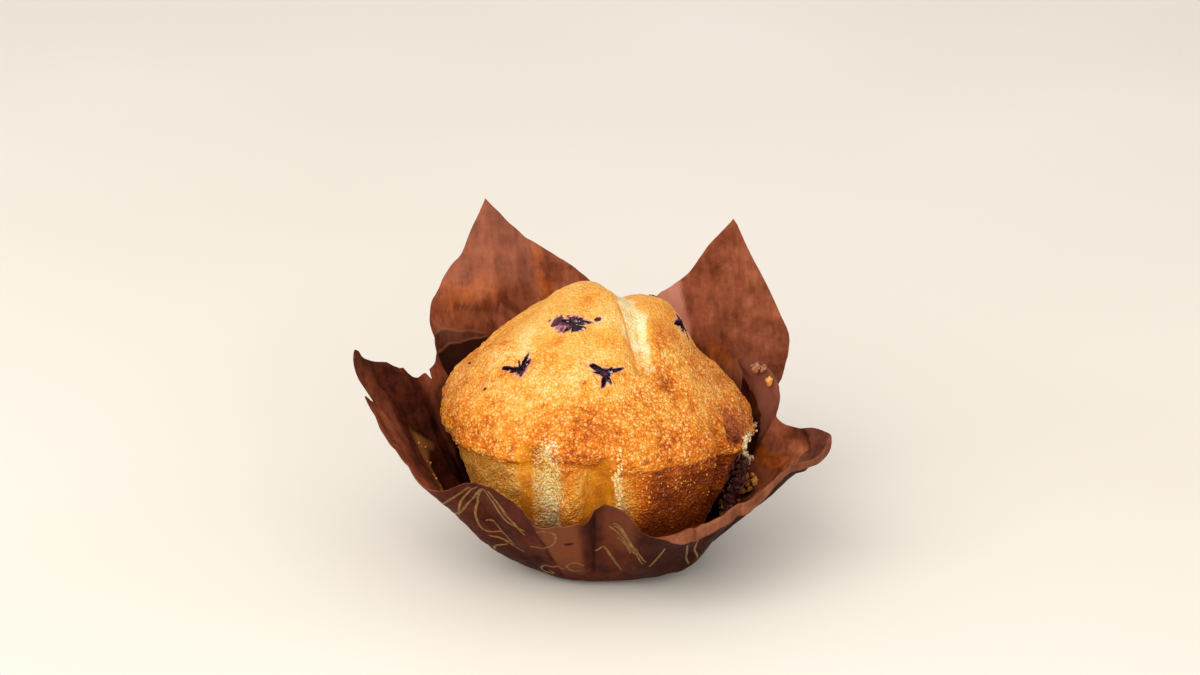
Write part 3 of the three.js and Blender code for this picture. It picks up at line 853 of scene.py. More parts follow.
coat(tree, shader, layered(tree, crust, layers), remap(tree, chance, 0.55, 1.0, 0.60, 0.20))
shader.inputs["Subsurface Weight"].default_value = 0.16
shader.inputs["Subsurface Radius"].default_value = (1.0, 0.42, 0.14)
shader.inputs["Subsurface Scale"].default_value = 0.0014
shader.inputs["Specular IOR Level"].default_value = 0.24
calm = weighted(tree, 1.0, (amber_mark, -0.85))
rough = maths(tree, "MULTIPLY", calm, weighted(tree, grain, (speckle, 0.8)))
bump(tree, shader, rough, 0.00042)
muffin.data.materials.clear()
muffin.data.materials.append(material)
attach(muffin, "root")
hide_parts("muffin")

# ---------------------------------------------------------------------------
# Berries: soft baked berries, each lying in its pocket with a wrinkled skin, and
# the thick dark juice that has welled up round it and set in the torn opening.
# The juice is a thin pool inside the opening and rests on the berry.
BERRY_GRID = (40, 64)
berry_skin, tree, shader = new_material("berry_skin")
bloom = noise_node(tree, 500, 4.0, 0.6)
skin_colour = ramp(tree, bloom, [(0.30, 14, 7, 16), (0.52, 34, 16, 40), (0.75, 74, 38, 78)])
coat(tree, shader, skin_colour, remap(tree, bloom, 0.3, 0.7, 0.22, 0.42))
bump(tree, shader, noise_node(tree, 1100, 3.0, 0.6), 0.0003, 0.8)

juice_material, tree, shader = new_material("berry_juice")
pulp = noise_node(tree, 900, 4.0, 0.62)
juice_colour = ramp(tree, pulp, [(0.32, 9, 2, 5), (0.55, 27, 6, 14), (0.70, 104, 38, 62)])
# Painted highlights: pale flecks in the set juice
_, glint_chance = cell_node(tree, 1500, 1.0)
juice_glints = remap(tree, glint_chance, 0.90, 0.93, 0.0, 0.85)
juice_colour = blend(tree, juice_glints, juice_colour, paint(206, 184, 190))
coat(tree, shader, juice_colour, remap(tree, pulp, 0.3, 0.75, 0.04, 0.18))
shader.inputs["Specular IOR Level"].default_value = 0.22
bump(tree, shader, pulp, 0.0006)

unit = ball_points(*BERRY_GRID)
for k, berry in enumerate(BERRIES):
    points = berry_points(berry, unit, 0.0, k + 1)
    wrinkles = 0.12 * noise(points, 1.7, 60 + k) + 0.05 * noise(points, 0.8, 64 + k)
    points = points - (unit @ seat_axes(berry)) * np.abs(wrinkles)[:, None]
    piece = add_object(berry["node"] + "_baked", points, closed_grid_faces(*BERRY_GRID))
    piece.data.materials.append(berry_skin)
    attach(piece, "root")
    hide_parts(berry["node"])

JUICE_TOP = 0.55  # how far the juice lies under the crust
JUICE_THICK = 1.5
JUICE_GRID = (30, 60)
DROP_GRID = (9, 14)
DROP_RISE = 0.34


def joined(shapes):
    """Points and faces of several shapes, each given as (points, faces), as one mesh."""
    faces = []
    start = 0
    for points, shape_faces in shapes:
        faces += [tuple(v + start for v in face) for face in shape_faces]
        start += len(points)
    return np.concatenate([points for points, _ in shapes]), faces


pools = []
for k, berry in enumerate(BERRIES):
    spread = max(length for _, length, _ in berry["arms"]) + 0.7
    local = ball_points(*JUICE_GRID) * (spread, spread, JUICE_THICK / 2)
    hill = 0.42 * noise(local * (1, 1, 0), 1.5, 70 + k) + 0.2 * noise(local * (1, 1, 0), 0.8, 74 + k)
    droop = 0.5 * (local[:, 0] ** 2 + local[:, 1] ** 2) / 26.0
    local[:, 2] += hill - droop - JUICE_TOP - JUICE_THICK / 2
    pools.append((on_crust(berry, local), closed_grid_faces(*JUICE_GRID)))
for n, (place, size) in enumerate(JUICE_DOTS):
    drop = ball_points(*DROP_GRID)
    drop = drop * (1 + 0.35 * noise(drop + 5.1 * n, 0.8, 78))[:, None] * (size, size * 0.8, DROP_RISE)
    nearest = np.argmin(np.linalg.norm(muffin_skin - place, axis=1))
    facing = np.array(muffin.data.vertices[int(nearest)].normal)
    pools.append((muffin_skin[nearest] + drop @ axes_facing(facing), closed_grid_faces(*DROP_GRID)))
juice = add_object("berry_juice", *joined(pools))
juice.data.materials.append(juice_material)
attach(juice, "root")

# ---------------------------------------------------------------------------
# Tulip case: one square sheet of brown greaseproof paper pressed round a form. The
# baker has pulled it open, so the corners stand up as tips, the folds have loosened
# and the front right edge is rolled over. It stands on its flat base.
PAPER = 0.28
CAD_PAPER = 0.5
BASE_RADIUS = 21.0
CRUST_GAP = 1.3  # room between the muffin's side and the paper
CASE_COLUMNS = 480
BASE_ROWS = 5
WALL_ROWS = 86
LIP_ROWS = 10
ROW_POWER = 1.08  # the wall's rows lie a little closer near the base
LIP_POWER = 1.2
DEGREE_MM = 0.8  # about the width of one degree of the wall
WALL_MM = 62  # about the length of the wall from the base's edge to the rim
# Rim of the opened sheet: azimuth, distance from the axis, height, corner
RIM = [
    (1.0, 44.2, 35.1, 0),
    (4.0, 45.3, 36.6, 0),
    (7.0, 46.2, 38.8, 0),
    (10.0, 45.9, 40.8, 0),
    (13.5, 44.4, 43.4, 0),
    (17.0, 43.2, 45.0, 0),
    (22.0, 41.4, 44.8, 0),
    (27.0, 39.6, 43.4, 0),
    (31.0, 54.4, 33.0, 0),
    (33.0, 58.2, 36.6, 0),
    (36.0, 61.6, 43.4, 0),
    (40.0, 60.6, 50.6, 0),
    (44.0, 56.6, 62.8, 0),
    (47.8, 52.0, 75.2, 1),
    (54.5, 47.8, 66.9, 0),
    (60.0, 45.4, 59.1, 0),
    (69.0, 43.0, 53.4, 0),
    (73.0, 43.2, 50.6, 0),
    (85.0, 44.8, 48.6, 0),
    (96.0, 45.0, 56.8, 0),
    (104.2, 45.4, 62.0, 0),
    (115.7, 46.6, 68.8, 0),
    (129.0, 48.6, 81.2, 1),
    (136.2, 49.1, 70.9, 0),
    (143.5, 50.4, 63.4, 0),
    (149.6, 51.4, 57.1, 0),
    (155.0, 49.5, 50.4, 0),
    (161.5, 44.8, 46.4, 0),
    (167.0, 45.6, 44.2, 0),
    (173.0, 47.6, 43.5, 0),
    (177.0, 50.1, 44.9, 0),
    (178.7, 51.3, 46.0, 0),
    (180.0, 52.4, 49.0, 0),
    (181.6, 54.1, 50.7, 0),
    (184.6, 57.4, 52.4, 0),
    (187.2, 60.2, 54.6, 0),
    (188.2, 61.2, 56.8, 0),
    (189.1, 62.4, 57.7, 0),
    (190.4, 62.9, 56.0, 0),
    (194.0, 61.3, 49.4, 0),
    (200.0, 59.7, 45.0, 0),
    (207.0, 58.6, 40.2, 0),
    (215.0, 57.9, 36.6, 0),
    (219.5, 57.6, 33.6, 0),
    (223.0, 54.6, 31.9, 0),
    (228.0, 52.4, 33.6, 0),
    (233.7, 50.6, 35.4, 0),
    (243.9, 45.7, 27.8, 0),
    (247.5, 45.8, 24.6, 0),
    (263.7, 42.8, 25.1, 0),
    (270.8, 44.0, 31.3, 0),
    (277.6, 44.4, 28.9, 0),
    (285.0, 45.4, 22.4, 0),
    (302.8, 50.0, 26.3, 0),
    (319.6, 50.9, 29.6, 0),
    (332.4, 52.9, 32.9, 0),
    (341.0, 57.4, 32.8, 0),
    (345.0, 58.2, 33.6, 0),
    (348.3, 58.3, 35.2, 0),
    (351.0, 56.2, 35.4, 0),
    (354.5, 50.9, 33.9, 0),
    (357.5, 46.8, 33.7, 0),
]
# Folds: azimuth at the rim and the base, depth inward, width before and after, share at the start
FOLDS = [
    (247, 252, 2.6, 9, 2.5, 0.15),
    (267, 266, 1.8, 3, 3, 0.25),
    (284.5, 280, 2.2, 5, 4, 0.2),
    (312, 300, 1.4, 8, 3, 0.2),
    (228, 238, 2.0, 3.5, 7, 0.2),
    (178, 200, 3.2, 4, 6, 0.25),
    (352, 335, 1.6, 4, 6, 0.3),
    (64, 66, 1.4, 2.5, 5, 0.3),
    (84, 84, 1.2, 5, 3, 0.3),
    (108, 100, -1.0, 6, 3, 0.3),
    (140, 132, 1.0, 6, 3, 0.3),
]
FOLD_GROWTH = 0.9
LIP_WIDTH = 0.7
ROLLED_WIDTH = 4.3
ROLL_TURN = math.radians(150)
# Small tears in the rim: azimuth, depth, width before and after in degrees
NICKS = [
    (193.4, 3.2, 0.5, 1.8),
    (181.3, 0.9, 1.4, 0.4),
    (168.0, 1.5, 0.4, 1.6),
    (244.6, 1.0, 0.9, 0.9),
    (298.0, 0.7, 1.2, 1.2),
]
# Where the wall stands out or lies in: azimuth, width, share, width, amount
SWELLS = [
    (330, 14, 0.82, 0.16, -0.9),
    (334, 12, 0.54, 0.18, -1.9),
    (307, 14, 0.42, 0.18, 2.3),
    (228, 13, 0.58, 0.24, 1.9),
    (246, 12, 0.24, 0.12, 0.9),
    (206, 9, 0.86, 0.14, -0.7),
]

rim_reach = make_curve(RIM, 1, 3, True)
rim_height = make_curve(RIM, 2, 3, True)
SIDE_SAMPLES = 43
side_share = np.linspace(0.1, 0.52, SIDE_SAMPLES)
side_height = section_height(side_share) + 1e-6 * np.arange(SIDE_SAMPLES)
side_radius = section_radius(side_share)


def soft_max(a, b, k):
    """The larger of two values, rounded over a width k where they meet."""
    h = np.clip(0.5 + 0.5 * (a - b) / k, 0, 1)
    return b + (a - b) * h + k * h * (1 - h)


def tent(d, before, after):
    """1 in the middle, falling straight to 0 over a width of its own on each side."""
    return np.clip(1 - np.where(d < 0, -d / before, d / after), 0, 1)


def crease(d, before, after):
    t = tent(d, before, after)
    return t * t * (1.6 - 0.6 * t)


def wall_at(azimuth, share):
    """Inner face of the wall as radius and height; share runs from the base's edge to the rim."""
    reach = rim_reach(azimuth)
    height = rim_height(azimuth)
    tall = np.clip((height - 32) / 45, 0, 1)
    pull = 0.36 + 0.1 * tall
    corner = BASE_RADIUS + 6.5 + 2.4 * np.cos(np.radians(azimuth - 310))
    belt_radius = 27 + (reach - 27) * (pull + 0.12 * tall)
    belt_height = CAD_PAPER + height * pull
    b0 = (1 - share) ** 3
    b1 = 3 * share * (1 - share) ** 2
    b2 = 3 * share * share * (1 - share)
    b3 = share**3
    r = b0 * BASE_RADIUS + b1 * corner + b2 * belt_radius + b3 * reach
    z = (b0 + b1) * CAD_PAPER + b2 * belt_height + b3 * height
    for at_rim, at_base, depth, before, after, start in FOLDS:
        d = wrap(azimuth - at_base - (at_rim - at_base) * share)
        grown = np.clip((share - start) / (1 - start), 0, 1) ** FOLD_GROWTH
        r = r - depth * grown * crease(d, before, after)
    for at, width, level, spread, amount in SWELLS:
        r = r + amount * bell(wrap(azimuth - at), width) * bell(share - level, spread) * step(1, 0.9, share)
    pocket = bell(wrap(azimuth - 157), 7) * step(0.35, 0.6, share) * (1 - step(0.86, 0.97, share))
    r = r - 2.0 * pocket
    clear = np.interp(z, side_height, side_radius) + CRUST_GAP + 1.2 * tall - np.maximum(0, z - 40) * 0.7
    return np.where(share > 0.02, soft_max(r, clear, 1.2), r), z


def lip_at(azimuth, share):
    """Band beyond the rim line: upright all round, rolled out and down along the front right."""
    r1, z1 = wall_at(azimuth, np.ones_like(azimuth))
    r0, z0 = wall_at(azimuth, np.full_like(azimuth, 0.97))
    rolled = step(283, 297, azimuth) * (1 - step(342, 350, azimuth))
    width = LIP_WIDTH + ROLLED_WIDTH * rolled * (0.75 + 0.25 * np.sin(np.radians(azimuth * 5)))
    start = np.arctan2(z1 - z0, r1 - r0)
    parts = 12
    for k in range(parts):
        angle = start - ROLL_TURN * rolled * step(0, 0.45, (k + 0.5) / parts * share)
        r1 = r1 + np.cos(angle) * width * share / parts
        z1 = z1 + np.sin(angle) * width * share / parts
    return r1, z1


case_azimuth = 360.0 * np.arange(CASE_COLUMNS) / CASE_COLUMNS
torn = np.zeros(CASE_COLUMNS)
for at, depth, before, after in NICKS:
    torn = torn + depth * tent(wrap(case_azimuth - at), before, after)
rim_ring = np.stack([50 * np.cos(np.radians(case_azimuth)), 50 * np.sin(np.radians(case_azimuth))], -1)
rim_ring = np.concatenate([rim_ring, np.zeros((CASE_COLUMNS, 1))], -1)
torn = torn + 0.18 * (1 + noise(rim_ring, 2.2, 80))
torn = torn / np.maximum(rim_height(case_azimuth), 20)
rows = []
for k in range(BASE_ROWS):
    radius = BASE_RADIUS * (k + 1) / (BASE_ROWS + 1)
    rows.append((np.full(CASE_COLUMNS, radius), np.full(CASE_COLUMNS, CAD_PAPER)))
for k in range(WALL_ROWS + 1):
    share = np.full(CASE_COLUMNS, (k / WALL_ROWS) ** ROW_POWER)
    rows.append(wall_at(case_azimuth, share - torn * share**8))
rim_r, rim_z = wall_at(case_azimuth, np.ones(CASE_COLUMNS))
torn_r, torn_z = wall_at(case_azimuth, 1 - torn)
for k in range(1, LIP_ROWS + 1):
    share = np.full(CASE_COLUMNS, (k / LIP_ROWS) ** LIP_POWER)
    r, z = lip_at(case_azimuth, share)
    rows.append((r + torn_r - rim_r, z + torn_z - rim_z))
sheet_radius = np.stack([r for r, _ in rows])
sheet_height = np.stack([z for _, z in rows])
turn = np.radians(case_azimuth)[None, :]
sheet = np.stack([sheet_radius * np.cos(turn), sheet_radius * np.sin(turn), sheet_height], -1)

# Pressed pleats run up the wall, and handling has crumpled the paper between them
PLEATS = 54
LOOSE_CREASES = 34
CREASE_REACH = 1.5
row_ranks = [np.zeros(BASE_ROWS), np.linspace(0, 1, WALL_ROWS + 1), np.ones(LIP_ROWS)]
share_of_row = np.concatenate(row_ranks)[:, None] ** ROW_POWER
azimuth_of_column = case_azimuth[None, :]
loose = step(0.06, 0.35, share_of_row)
pleat_draw = np.random.default_rng(7)
pleats = np.zeros(sheet.shape[:2])
for _ in range(PLEATS):
    at = pleat_draw.uniform(0, 360)
    lean = pleat_draw.uniform(-9, 9)
    start = pleat_draw.uniform(0.05, 0.55)
    size = pleat_draw.uniform(-0.55, 0.55)
    width = pleat_draw.uniform(1.2, 3.2)
    d = wrap(azimuth_of_column - at - lean * share_of_row)
    pleats = pleats + size * step(start, start + 0.3, share_of_row) * np.clip(1 - np.abs(d) / width, 0, 1)
crumple = 0.60 * (np.abs(noise(sheet, 11, 81)) - 0.3) + 0.34 * (np.abs(noise(sheet, 5.5, 82)) - 0.3)
ripple = 0.12 * noise(sheet, 2.4, 83)

# Sharp creases: azimuth and share of both ends, depth
CREASES = [
    (144.5, 0.925, 139.5, 0.875, 0.8),
    (139.5, 0.875, 131.2, 0.790, 1.0),
    (131.2, 0.790, 122.2, 0.795, 0.8),
    (48.0, 0.78, 44.0, 0.77, 0.5),
    (45.8, 0.81, 39.0, 0.96, -0.5),
    (62.5, 1.00, 57.5, 0.86, -0.7),
    (181.0, 0.98, 182.5, 0.82, -0.7),
    (182.0, 0.93, 186.0, 0.70, 0.9),
    (348.0, 0.91, 330.0, 0.98, 0.8),
    (354.0, 0.95, 348.0, 0.91, 0.7),
    (349.0, 0.97, 356.0, 0.78, 0.7),
    (344.0, 0.93, 358.0, 0.86, -0.6),
    (352.0, 0.88, 2.0, 0.80, 0.5),
    (180.0, 1.00, 207.0, 0.70, 0.6),
    (196.0, 0.95, 214.0, 0.62, 0.6),
    (172.0, 0.97, 178.0, 0.60, 0.8),
]
for _ in range(LOOSE_CREASES):
    at = pleat_draw.uniform(0, 360)
    share = pleat_draw.uniform(0.3, 0.9)
    lean = pleat_draw.uniform(-12, 12)
    share_end = share + pleat_draw.uniform(-0.22, 0.22)
    CREASES.append((at, share, at + lean, share_end, pleat_draw.uniform(-0.45, 0.45)))
creases = np.zeros(sheet.shape[:2])
for at, share, at_end, share_end, depth in CREASES:
    u = wrap(azimuth_of_column - at) * DEGREE_MM
    v = (share_of_row - share) * WALL_MM
    du = float(wrap(at_end - at)) * DEGREE_MM
    dv = (share_end - share) * WALL_MM
    t = np.clip((u * du + v * dv) / (du * du + dv * dv), 0, 1)
    away = np.hypot(u - t * du, v - t * dv)
    creases = creases + depth * np.clip(1 - away / CREASE_REACH, 0, 1) * (1 - (2 * t - 1) ** 4)

# Back left corner: folded over itself, so that a strip of the paper faces down
FOLD_HEIGHT = 49.0
FOLD_IN = 1.7
STRIP = 4.8
over = np.exp(-np.maximum(sheet[..., 2] - FOLD_HEIGHT, 0) / 7)
strip = np.clip((sheet[..., 2] - FOLD_HEIGHT + STRIP) / STRIP, 0, 1)
folded = between(azimuth_of_column, 134, 158, 2) * np.minimum(over, strip)
calm = 1 - 0.7 * step(50, 66, rim_height(case_azimuth))[None, :] * step(0.5, 0.8, share_of_row)
out = loose * ((0.8 * pleats + crumple) * calm + ripple + creases) - FOLD_IN * folded
sheet = sheet + grid_normals(sheet) * out[..., None]
outer_side = grid_normals(sheet)
inner = sheet + outer_side * (CAD_PAPER - PAPER) * 0.5
outer = inner + outer_side * PAPER
flat_base = np.arange(sheet.shape[0])[:, None, None] <= BASE_ROWS
inner = np.where(flat_base, sheet + np.array([0, 0, PAPER - CAD_PAPER]), inner)
outer = np.where(flat_base, sheet - np.array([0, 0, CAD_PAPER]), outer)
outer[..., 2] = np.maximum(outer[..., 2], 0)
inner[..., 2] = np.maximum(inner[..., 2], 0.08)
case_rows = sheet.shape[0]
case = add_object(
    "paper_case_sheet",
    np.concatenate([[(0, 0, 0)], outer.reshape(-1, 3), inner[::-1].reshape(-1, 3), [(0, 0, PAPER)]]),
    closed_grid_faces(2 * case_rows, CASE_COLUMNS),
)
side_of_point = np.concatenate([[1.0], np.ones(outer[..., 0].size), np.zeros(inner[..., 0].size + 1)])
store(case, "outside", side_of_point)


def from_line(azimuth, share, line):
    """Distance in millimetres above a line of (azimuth, share) places that runs to lower azimuths."""
    middle = line[0][0]
    places = [(wrap(a - middle) * DEGREE_MM, b * WALL_MM) for a, b in line]
    return near_line(wrap(azimuth - middle) * DEGREE_MM, share * WALL_MM, places)[0]


def traced(azimuth, share, line, width):
    """1 on the line, fading out over that width in millimetres."""
    return bell(np.abs(from_line(azimuth, share, line)) / width, 1)


# Upper edge of the rounded fold at the right, and the worn ridges of other folds
EAR_LINE = [(31.0, 0.955), (28.0, 0.945), (21.0, 0.895), (13.5, 0.885)]
EAR_LINE += [(10.5, 0.88), (7.0, 0.85), (5.0, 0.80)]
LEFT_RIDGE = [(180.8, 1.0), (180.8, 0.975), (181.5, 0.91), (183.0, 0.825)]
RIGHT_RIDGE = [(0.0, 0.875), (356.0, 0.838), (348.5, 0.82)]
UPPER_RIDGE = [(1.5, 0.905), (357.5, 0.87), (352.0, 0.855)]


def inside_marks(azimuth, share, height):
    """Grease, juice, shade and worn folds on the inside of the paper, each from 0 to about 1."""

    def trace(line, width):
        return traced(azimuth, share, line, width)

    field = np.stack([azimuth * DEGREE_MM, share * WALL_MM, 0 * azimuth], -1)
    wobble = noise(field, 4.0, 90)
    fine = noise(field, 1.8, 91)
    smear = trace([(11.5, 0.66), (10.0, 0.56), (7.0, 0.47), (0.0, 0.40)], 4.2 + 1.2 * wobble)
    smear = np.maximum(smear, 0.8 * trace([(4.0, 0.70), (355.0, 0.66)], 2.6 + wobble))
    streak_line = [(187.6, 0.73), (190.5, 0.69), (195.0, 0.70), (198.0, 0.69), (203.5, 0.69)]
    streak = trace(streak_line, 2.1 + 0.6 * wobble)
    # Painted shade, drawn as darker paper: the inside of the left petal (lighter toward its top edge,
    # darker along its creases), the fold under the rounded ear, the lower part of the back right petal, the
    # right corner under its top edge, low on the back left petal, and all round low down by the muffin.
    left = 0.70 * between(azimuth, 164, 216, 5)
    left = left - 0.42 * step(188, 196, azimuth) * between(azimuth, 180, 224, 6) * step(0.80, 0.92, share)
    left = left - 0.40 * between(azimuth, 165, 173, 3) * step(0.80, 0.90, share)
    left = left + 0.5 * trace([(183.8, 0.95), (185.2, 0.86), (187.0, 0.75), (189.0, 0.66)], 2.6)
    left = left + 0.4 * trace([(178.0, 0.97), (178.5, 0.90), (177.0, 0.84)], 1.6)
    left = left + 0.4 * between(azimuth, 160, 196, 5) * step(0.74, 0.66, share)
    under_ear = -from_line(azimuth, share, EAR_LINE)
    in_ear = between(azimuth, 5, 30.5, 0.6)
    right = 1.3 * in_ear * step(-0.3, 0.5, under_ear) * (1 - 0.7 * step(2.2, 5.5, under_ear))
    right = right + 0.35 * bell(wrap(azimuth - 47), 8) * step(0.82, 0.70, share)
    right = right + 0.7 * between(azimuth, 350.5, 356.5, 1.5) * step(0.94, 0.975, share)
    right = right + 0.55 * trace([(350.0, 0.80), (343.0, 0.72), (334.0, 0.66)], 2.4 + 1.4 * fine)
    low_left = 0.30 * between(azimuth, 118, 160, 6) * step(54.5, 50.5, height + 1.2 * wobble)
    # Painted shade: a dark line in the crease on the back left petal.
    line = trace([(144.5, 0.925), (139.5, 0.875), (131.2, 0.79), (122.2, 0.795)], 0.7)
    olive = 0.30 * bell(wrap(azimuth - 118) + 1.5 * wobble, 3.4) * step(0.78, 0.84, share)
    darkened = left + right + low_left + olive + 0.25 * step(0.7, 0.4, share) + 0.10 * wobble
    ridge = trace(LEFT_RIDGE, 0.65)
    ridge = np.maximum(ridge, 0.9 * trace(RIGHT_RIDGE, 0.5))
    ridge = np.maximum(ridge, 0.8 * trace(UPPER_RIDGE, 0.45))
    warm = 0.50 * between(azimuth, 124, 150, 6) * between(height + 2 * wobble, 51, 62, 4)
    warm = warm + 0.6 * trace([(112.0, 0.97), (109.0, 0.90)], 3.0) + 0.7 * ridge
    warm = warm + 0.7 * trace([(47.5, 0.70), (43.5, 0.76)], 1.8 + 0.8 * fine)
    warm = warm + 0.8 * trace([(359.0, 0.84), (354.0, 0.85)], 1.8 + 0.8 * wobble)
    warm = warm + 0.5 * bell(wrap(azimuth - 168), 6) * between(share, 0.7, 0.86, 0.04)
    warm = warm + 0.50 * bell(wrap(azimuth - 342), 26) * between(share, 0.30, 0.84, 0.06)
    band_edge = 57.8 + 35 * (share - 0.875)
    pale = step(band_edge - 0.5, band_edge + 0.5, azimuth) * (1 - step(69, 71.5, azimuth))
    pale = pale * step(0.74, 0.84, share) + 0.22 * between(azimuth, 112, 148, 6) * step(54, 62, height)
    return {
        "smear": smear,
        "streak": streak,
        "darkened": darkened,
        "warm": warm,
        "pale": pale,
        "plum": in_ear * step(0.3, -0.3, under_ear),
        "line": line,
    }


def outside_marks(azimuth, share):
    """Lit and shaded folds outside, and one small dark spot on the front."""
    lit = between(azimuth, 249.5, 262, 1.6) * step(0.30, 0.75, share)
    lit = lit + 0.55 * between(azimuth, 270, 281, 2) * step(0.6, 0.85, share)
    shade = 0.7 * between(azimuth, 222, 247, 5) * step(0.8, 0.5, share)
    shade = shade + 0.8 * bell(wrap(azimuth - 266.5), 2.2) * step(0.5, 0.7, share)
    shade = shade + 0.8 * between(azimuth, 284, 345, 4) + 0.6 * step(0.3, 0.12, share)
    spot = traced(azimuth, share, [(257.0, 0.836), (258.8, 0.842)], 0.75)
    return {"smear": spot, "darkened": shade, "pale": lit}


# Edges of the folded corner: upper edge of the strip that faces down, and the fold under it
STRIP_TOP = [(160.0, 1.06), (155.2, 1.0), (145.5, 0.875), (140.2, 0.825), (137.6, 0.80)]
STRIP_LOW = [(160.0, 1.00), (152.2, 0.912), (146.2, 0.850), (139.5, 0.800), (137.0, 0.785)]
# Right corner: rolled outward beyond this line
CORNER = [
    (354.5, 1.02),
    (351.0, 0.975),
    (348.5, 0.93),
    (347.2, 0.885),
    (343.0, 0.90),
    (336.0, 0.945),
    (325.0, 1.0),
]
FAR = -9.0  # distance given to the sheet away from these corners
share_points = np.broadcast_to(share_of_row, sheet.shape[:2])
azimuth_points = np.broadcast_to(azimuth_of_column, sheet.shape[:2])
in_fold = (azimuth_points > 136.5) & (azimuth_points < 161)
in_corner = (azimuth_points > 325) & (azimuth_points < 354.5)
lip_row = np.arange(sheet.shape[0])[:, None] > BASE_ROWS + WALL_ROWS
marks_inside = inside_marks(azimuth_points, share_points, sheet[..., 2])
marks_outside = outside_marks(azimuth_points, share_points)
marks_inside["strip_top"] = np.where(in_fold, -from_line(azimuth_points, share_points, STRIP_TOP), FAR)
marks_inside["strip_low"] = np.where(in_fold, -from_line(azimuth_points, share_points, STRIP_LOW), FAR)
marks_inside["corner"] = np.where(in_corner, from_line(azimuth_points, share_points, CORNER), FAR)
marks_inside["lip"] = lip_row * between(azimuth_points, 288, 346, 4)
for name in ("strip_top", "strip_low", "corner"):
    marks_outside[name] = np.full(sheet.shape[:2], FAR)
plain = np.zeros(sheet.shape[:2])
for name, inside_values in marks_inside.items():
    outside_values = marks_outside.get(name, plain)
    values = [[0.0], outside_values.reshape(-1), inside_values[::-1].reshape(-1), [0.0]]
    store(case, name, np.concatenate(values))

paper, tree, shader = new_material("brown_baking_paper")
mottle = noise_node(tree, 170, 5.0, 0.66)
fibres = noise_node(tree, 800, 3.0, 0.6, (1.0, 1.0, 0.12))
cloud = noise_node(tree, 70, 4.0, 0.6)
paper_tone = weighted(tree, mottle, (fibres, 0.36))
INSIDE_TONES = [(0.42, 84, 37, 20), (0.60, 118, 60, 38), (0.76, 140, 76, 50), (0.95, 166, 98, 70)]
OUTSIDE_TONES = [(0.42, 46, 17, 10), (0.62, 66, 26, 16), (0.9, 90, 41, 26)]
WARM_TONES = [(0.48, 112, 48, 14), (0.64, 160, 78, 26), (0.85, 196, 110, 44)]
DARKENED_TONES = [(0.42, 30, 9, 5), (0.62, 52, 18, 10), (0.88, 88, 38, 20)]
STRIP_TONES = [(0.42, 54, 24, 18), (0.62, 80, 42, 30), (0.88, 104, 62, 42)]
CORNER_TONES = [(0.42, 66, 30, 22), (0.62, 88, 46, 36), (0.88, 112, 64, 50)]
LIP_TONES = [(0.42, 86, 44, 27), (0.62, 114, 64, 42), (0.88, 144, 88, 60)]
warm_share = weighted(tree, attribute_node(tree, "warm"), (cloud, 1.3))
darkened = attribute_node(tree, "darkened")
darkened_share = weighted(tree, darkened, (cloud, 0.8))
pale = attribute_node(tree, "pale")
line_share = remap(tree, mottle, 0.35, 0.6, 0.5, 0.85)
line_share = maths(tree, "MULTIPLY", attribute_node(tree, "line"), line_share)
strip_top = attribute_node(tree, "strip_top")
strip_low = attribute_node(tree, "strip_low")
corner = attribute_node(tree, "corner")
top_edge = maths(tree, "ABSOLUTE", maths(tree, "SUBTRACT", strip_top, 0.1))
low_edge = maths(tree, "ABSOLUTE", strip_low)
corner_edge = maths(tree, "ABSOLUTE", maths(tree, "ADD", corner, 0.35))
streak_share = weighted(tree, attribute_node(tree, "streak"), (noise_node(tree, 420, 4.0, 0.65), 0.9))
smear_share = weighted(tree, attribute_node(tree, "smear"), (noise_node(tree, 380, 4.0, 0.65), 0.9))
smear_share = remap(tree, smear_share, 0.75, 1.15)
layers = [
    (remap(tree, warm_share, 0.90, 1.50, 0.0, 0.9), ramp(tree, paper_tone, WARM_TONES)),
    (maths(tree, "MULTIPLY", pale, 0.7), paint(206, 142, 120)),
    (maths(tree, "MULTIPLY", attribute_node(tree, "plum"), 0.8), paint(120, 72, 58)),
    # painted shade in the crease on the back left petal
    (line_share, paint(66, 26, 14)),
    # painted shade: darker paper where the darkened marks lie
    (remap(tree, darkened_share, 0.45, 1.30), ramp(tree, paper_tone, DARKENED_TONES)),
    # painted shade on the strip that faces down, and a painted highlight along its upper edge
    (remap(tree, strip_top, -0.12, 0.12), ramp(tree, paper_tone, STRIP_TONES)),
    (remap(tree, top_edge, 0.0, 0.28, 0.55, 0.0), paint(146, 92, 64)),
    # painted shade in the fold under the strip, and a painted highlight along its lower edge
    (remap(tree, strip_low, -0.12, 0.25, 0.0, 0.85), paint(38, 13, 8)),
    (remap(tree, low_edge, 0.0, 0.24, 0.6, 0.0), paint(140, 88, 62)),
    (remap(tree, corner, -0.1, 0.15), ramp(tree, paper_tone, CORNER_TONES)),
    # painted shade along the fold of the rolled corner
    (remap(tree, corner_edge, 0.0, 0.55, 0.8, 0.0), paint(36, 13, 8)),
    (attribute_node(tree, "lip"), ramp(tree, paper_tone, LIP_TONES)),
    (remap(tree, streak_share, 0.80, 1.40, 0.0, 0.9), paint(140, 90, 44)),
    (smear_share, paint(34, 13, 16)),
]
inside_colour = layered(tree, ramp(tree, paper_tone, INSIDE_TONES), layers)
layers = [
    # painted light on the lit outside facets, and painted shade on the shaded folds outside
    (pale, paint(110, 58, 34)),
    (maths(tree, "MULTIPLY", darkened, 0.8), paint(32, 10, 6)),
    (smear_share, paint(58, 16, 8)),
]
outside_colour = layered(tree, ramp(tree, paper_tone, OUTSIDE_TONES), layers)
both_sides = blend(tree, attribute_node(tree, "outside"), inside_colour, outside_colour)
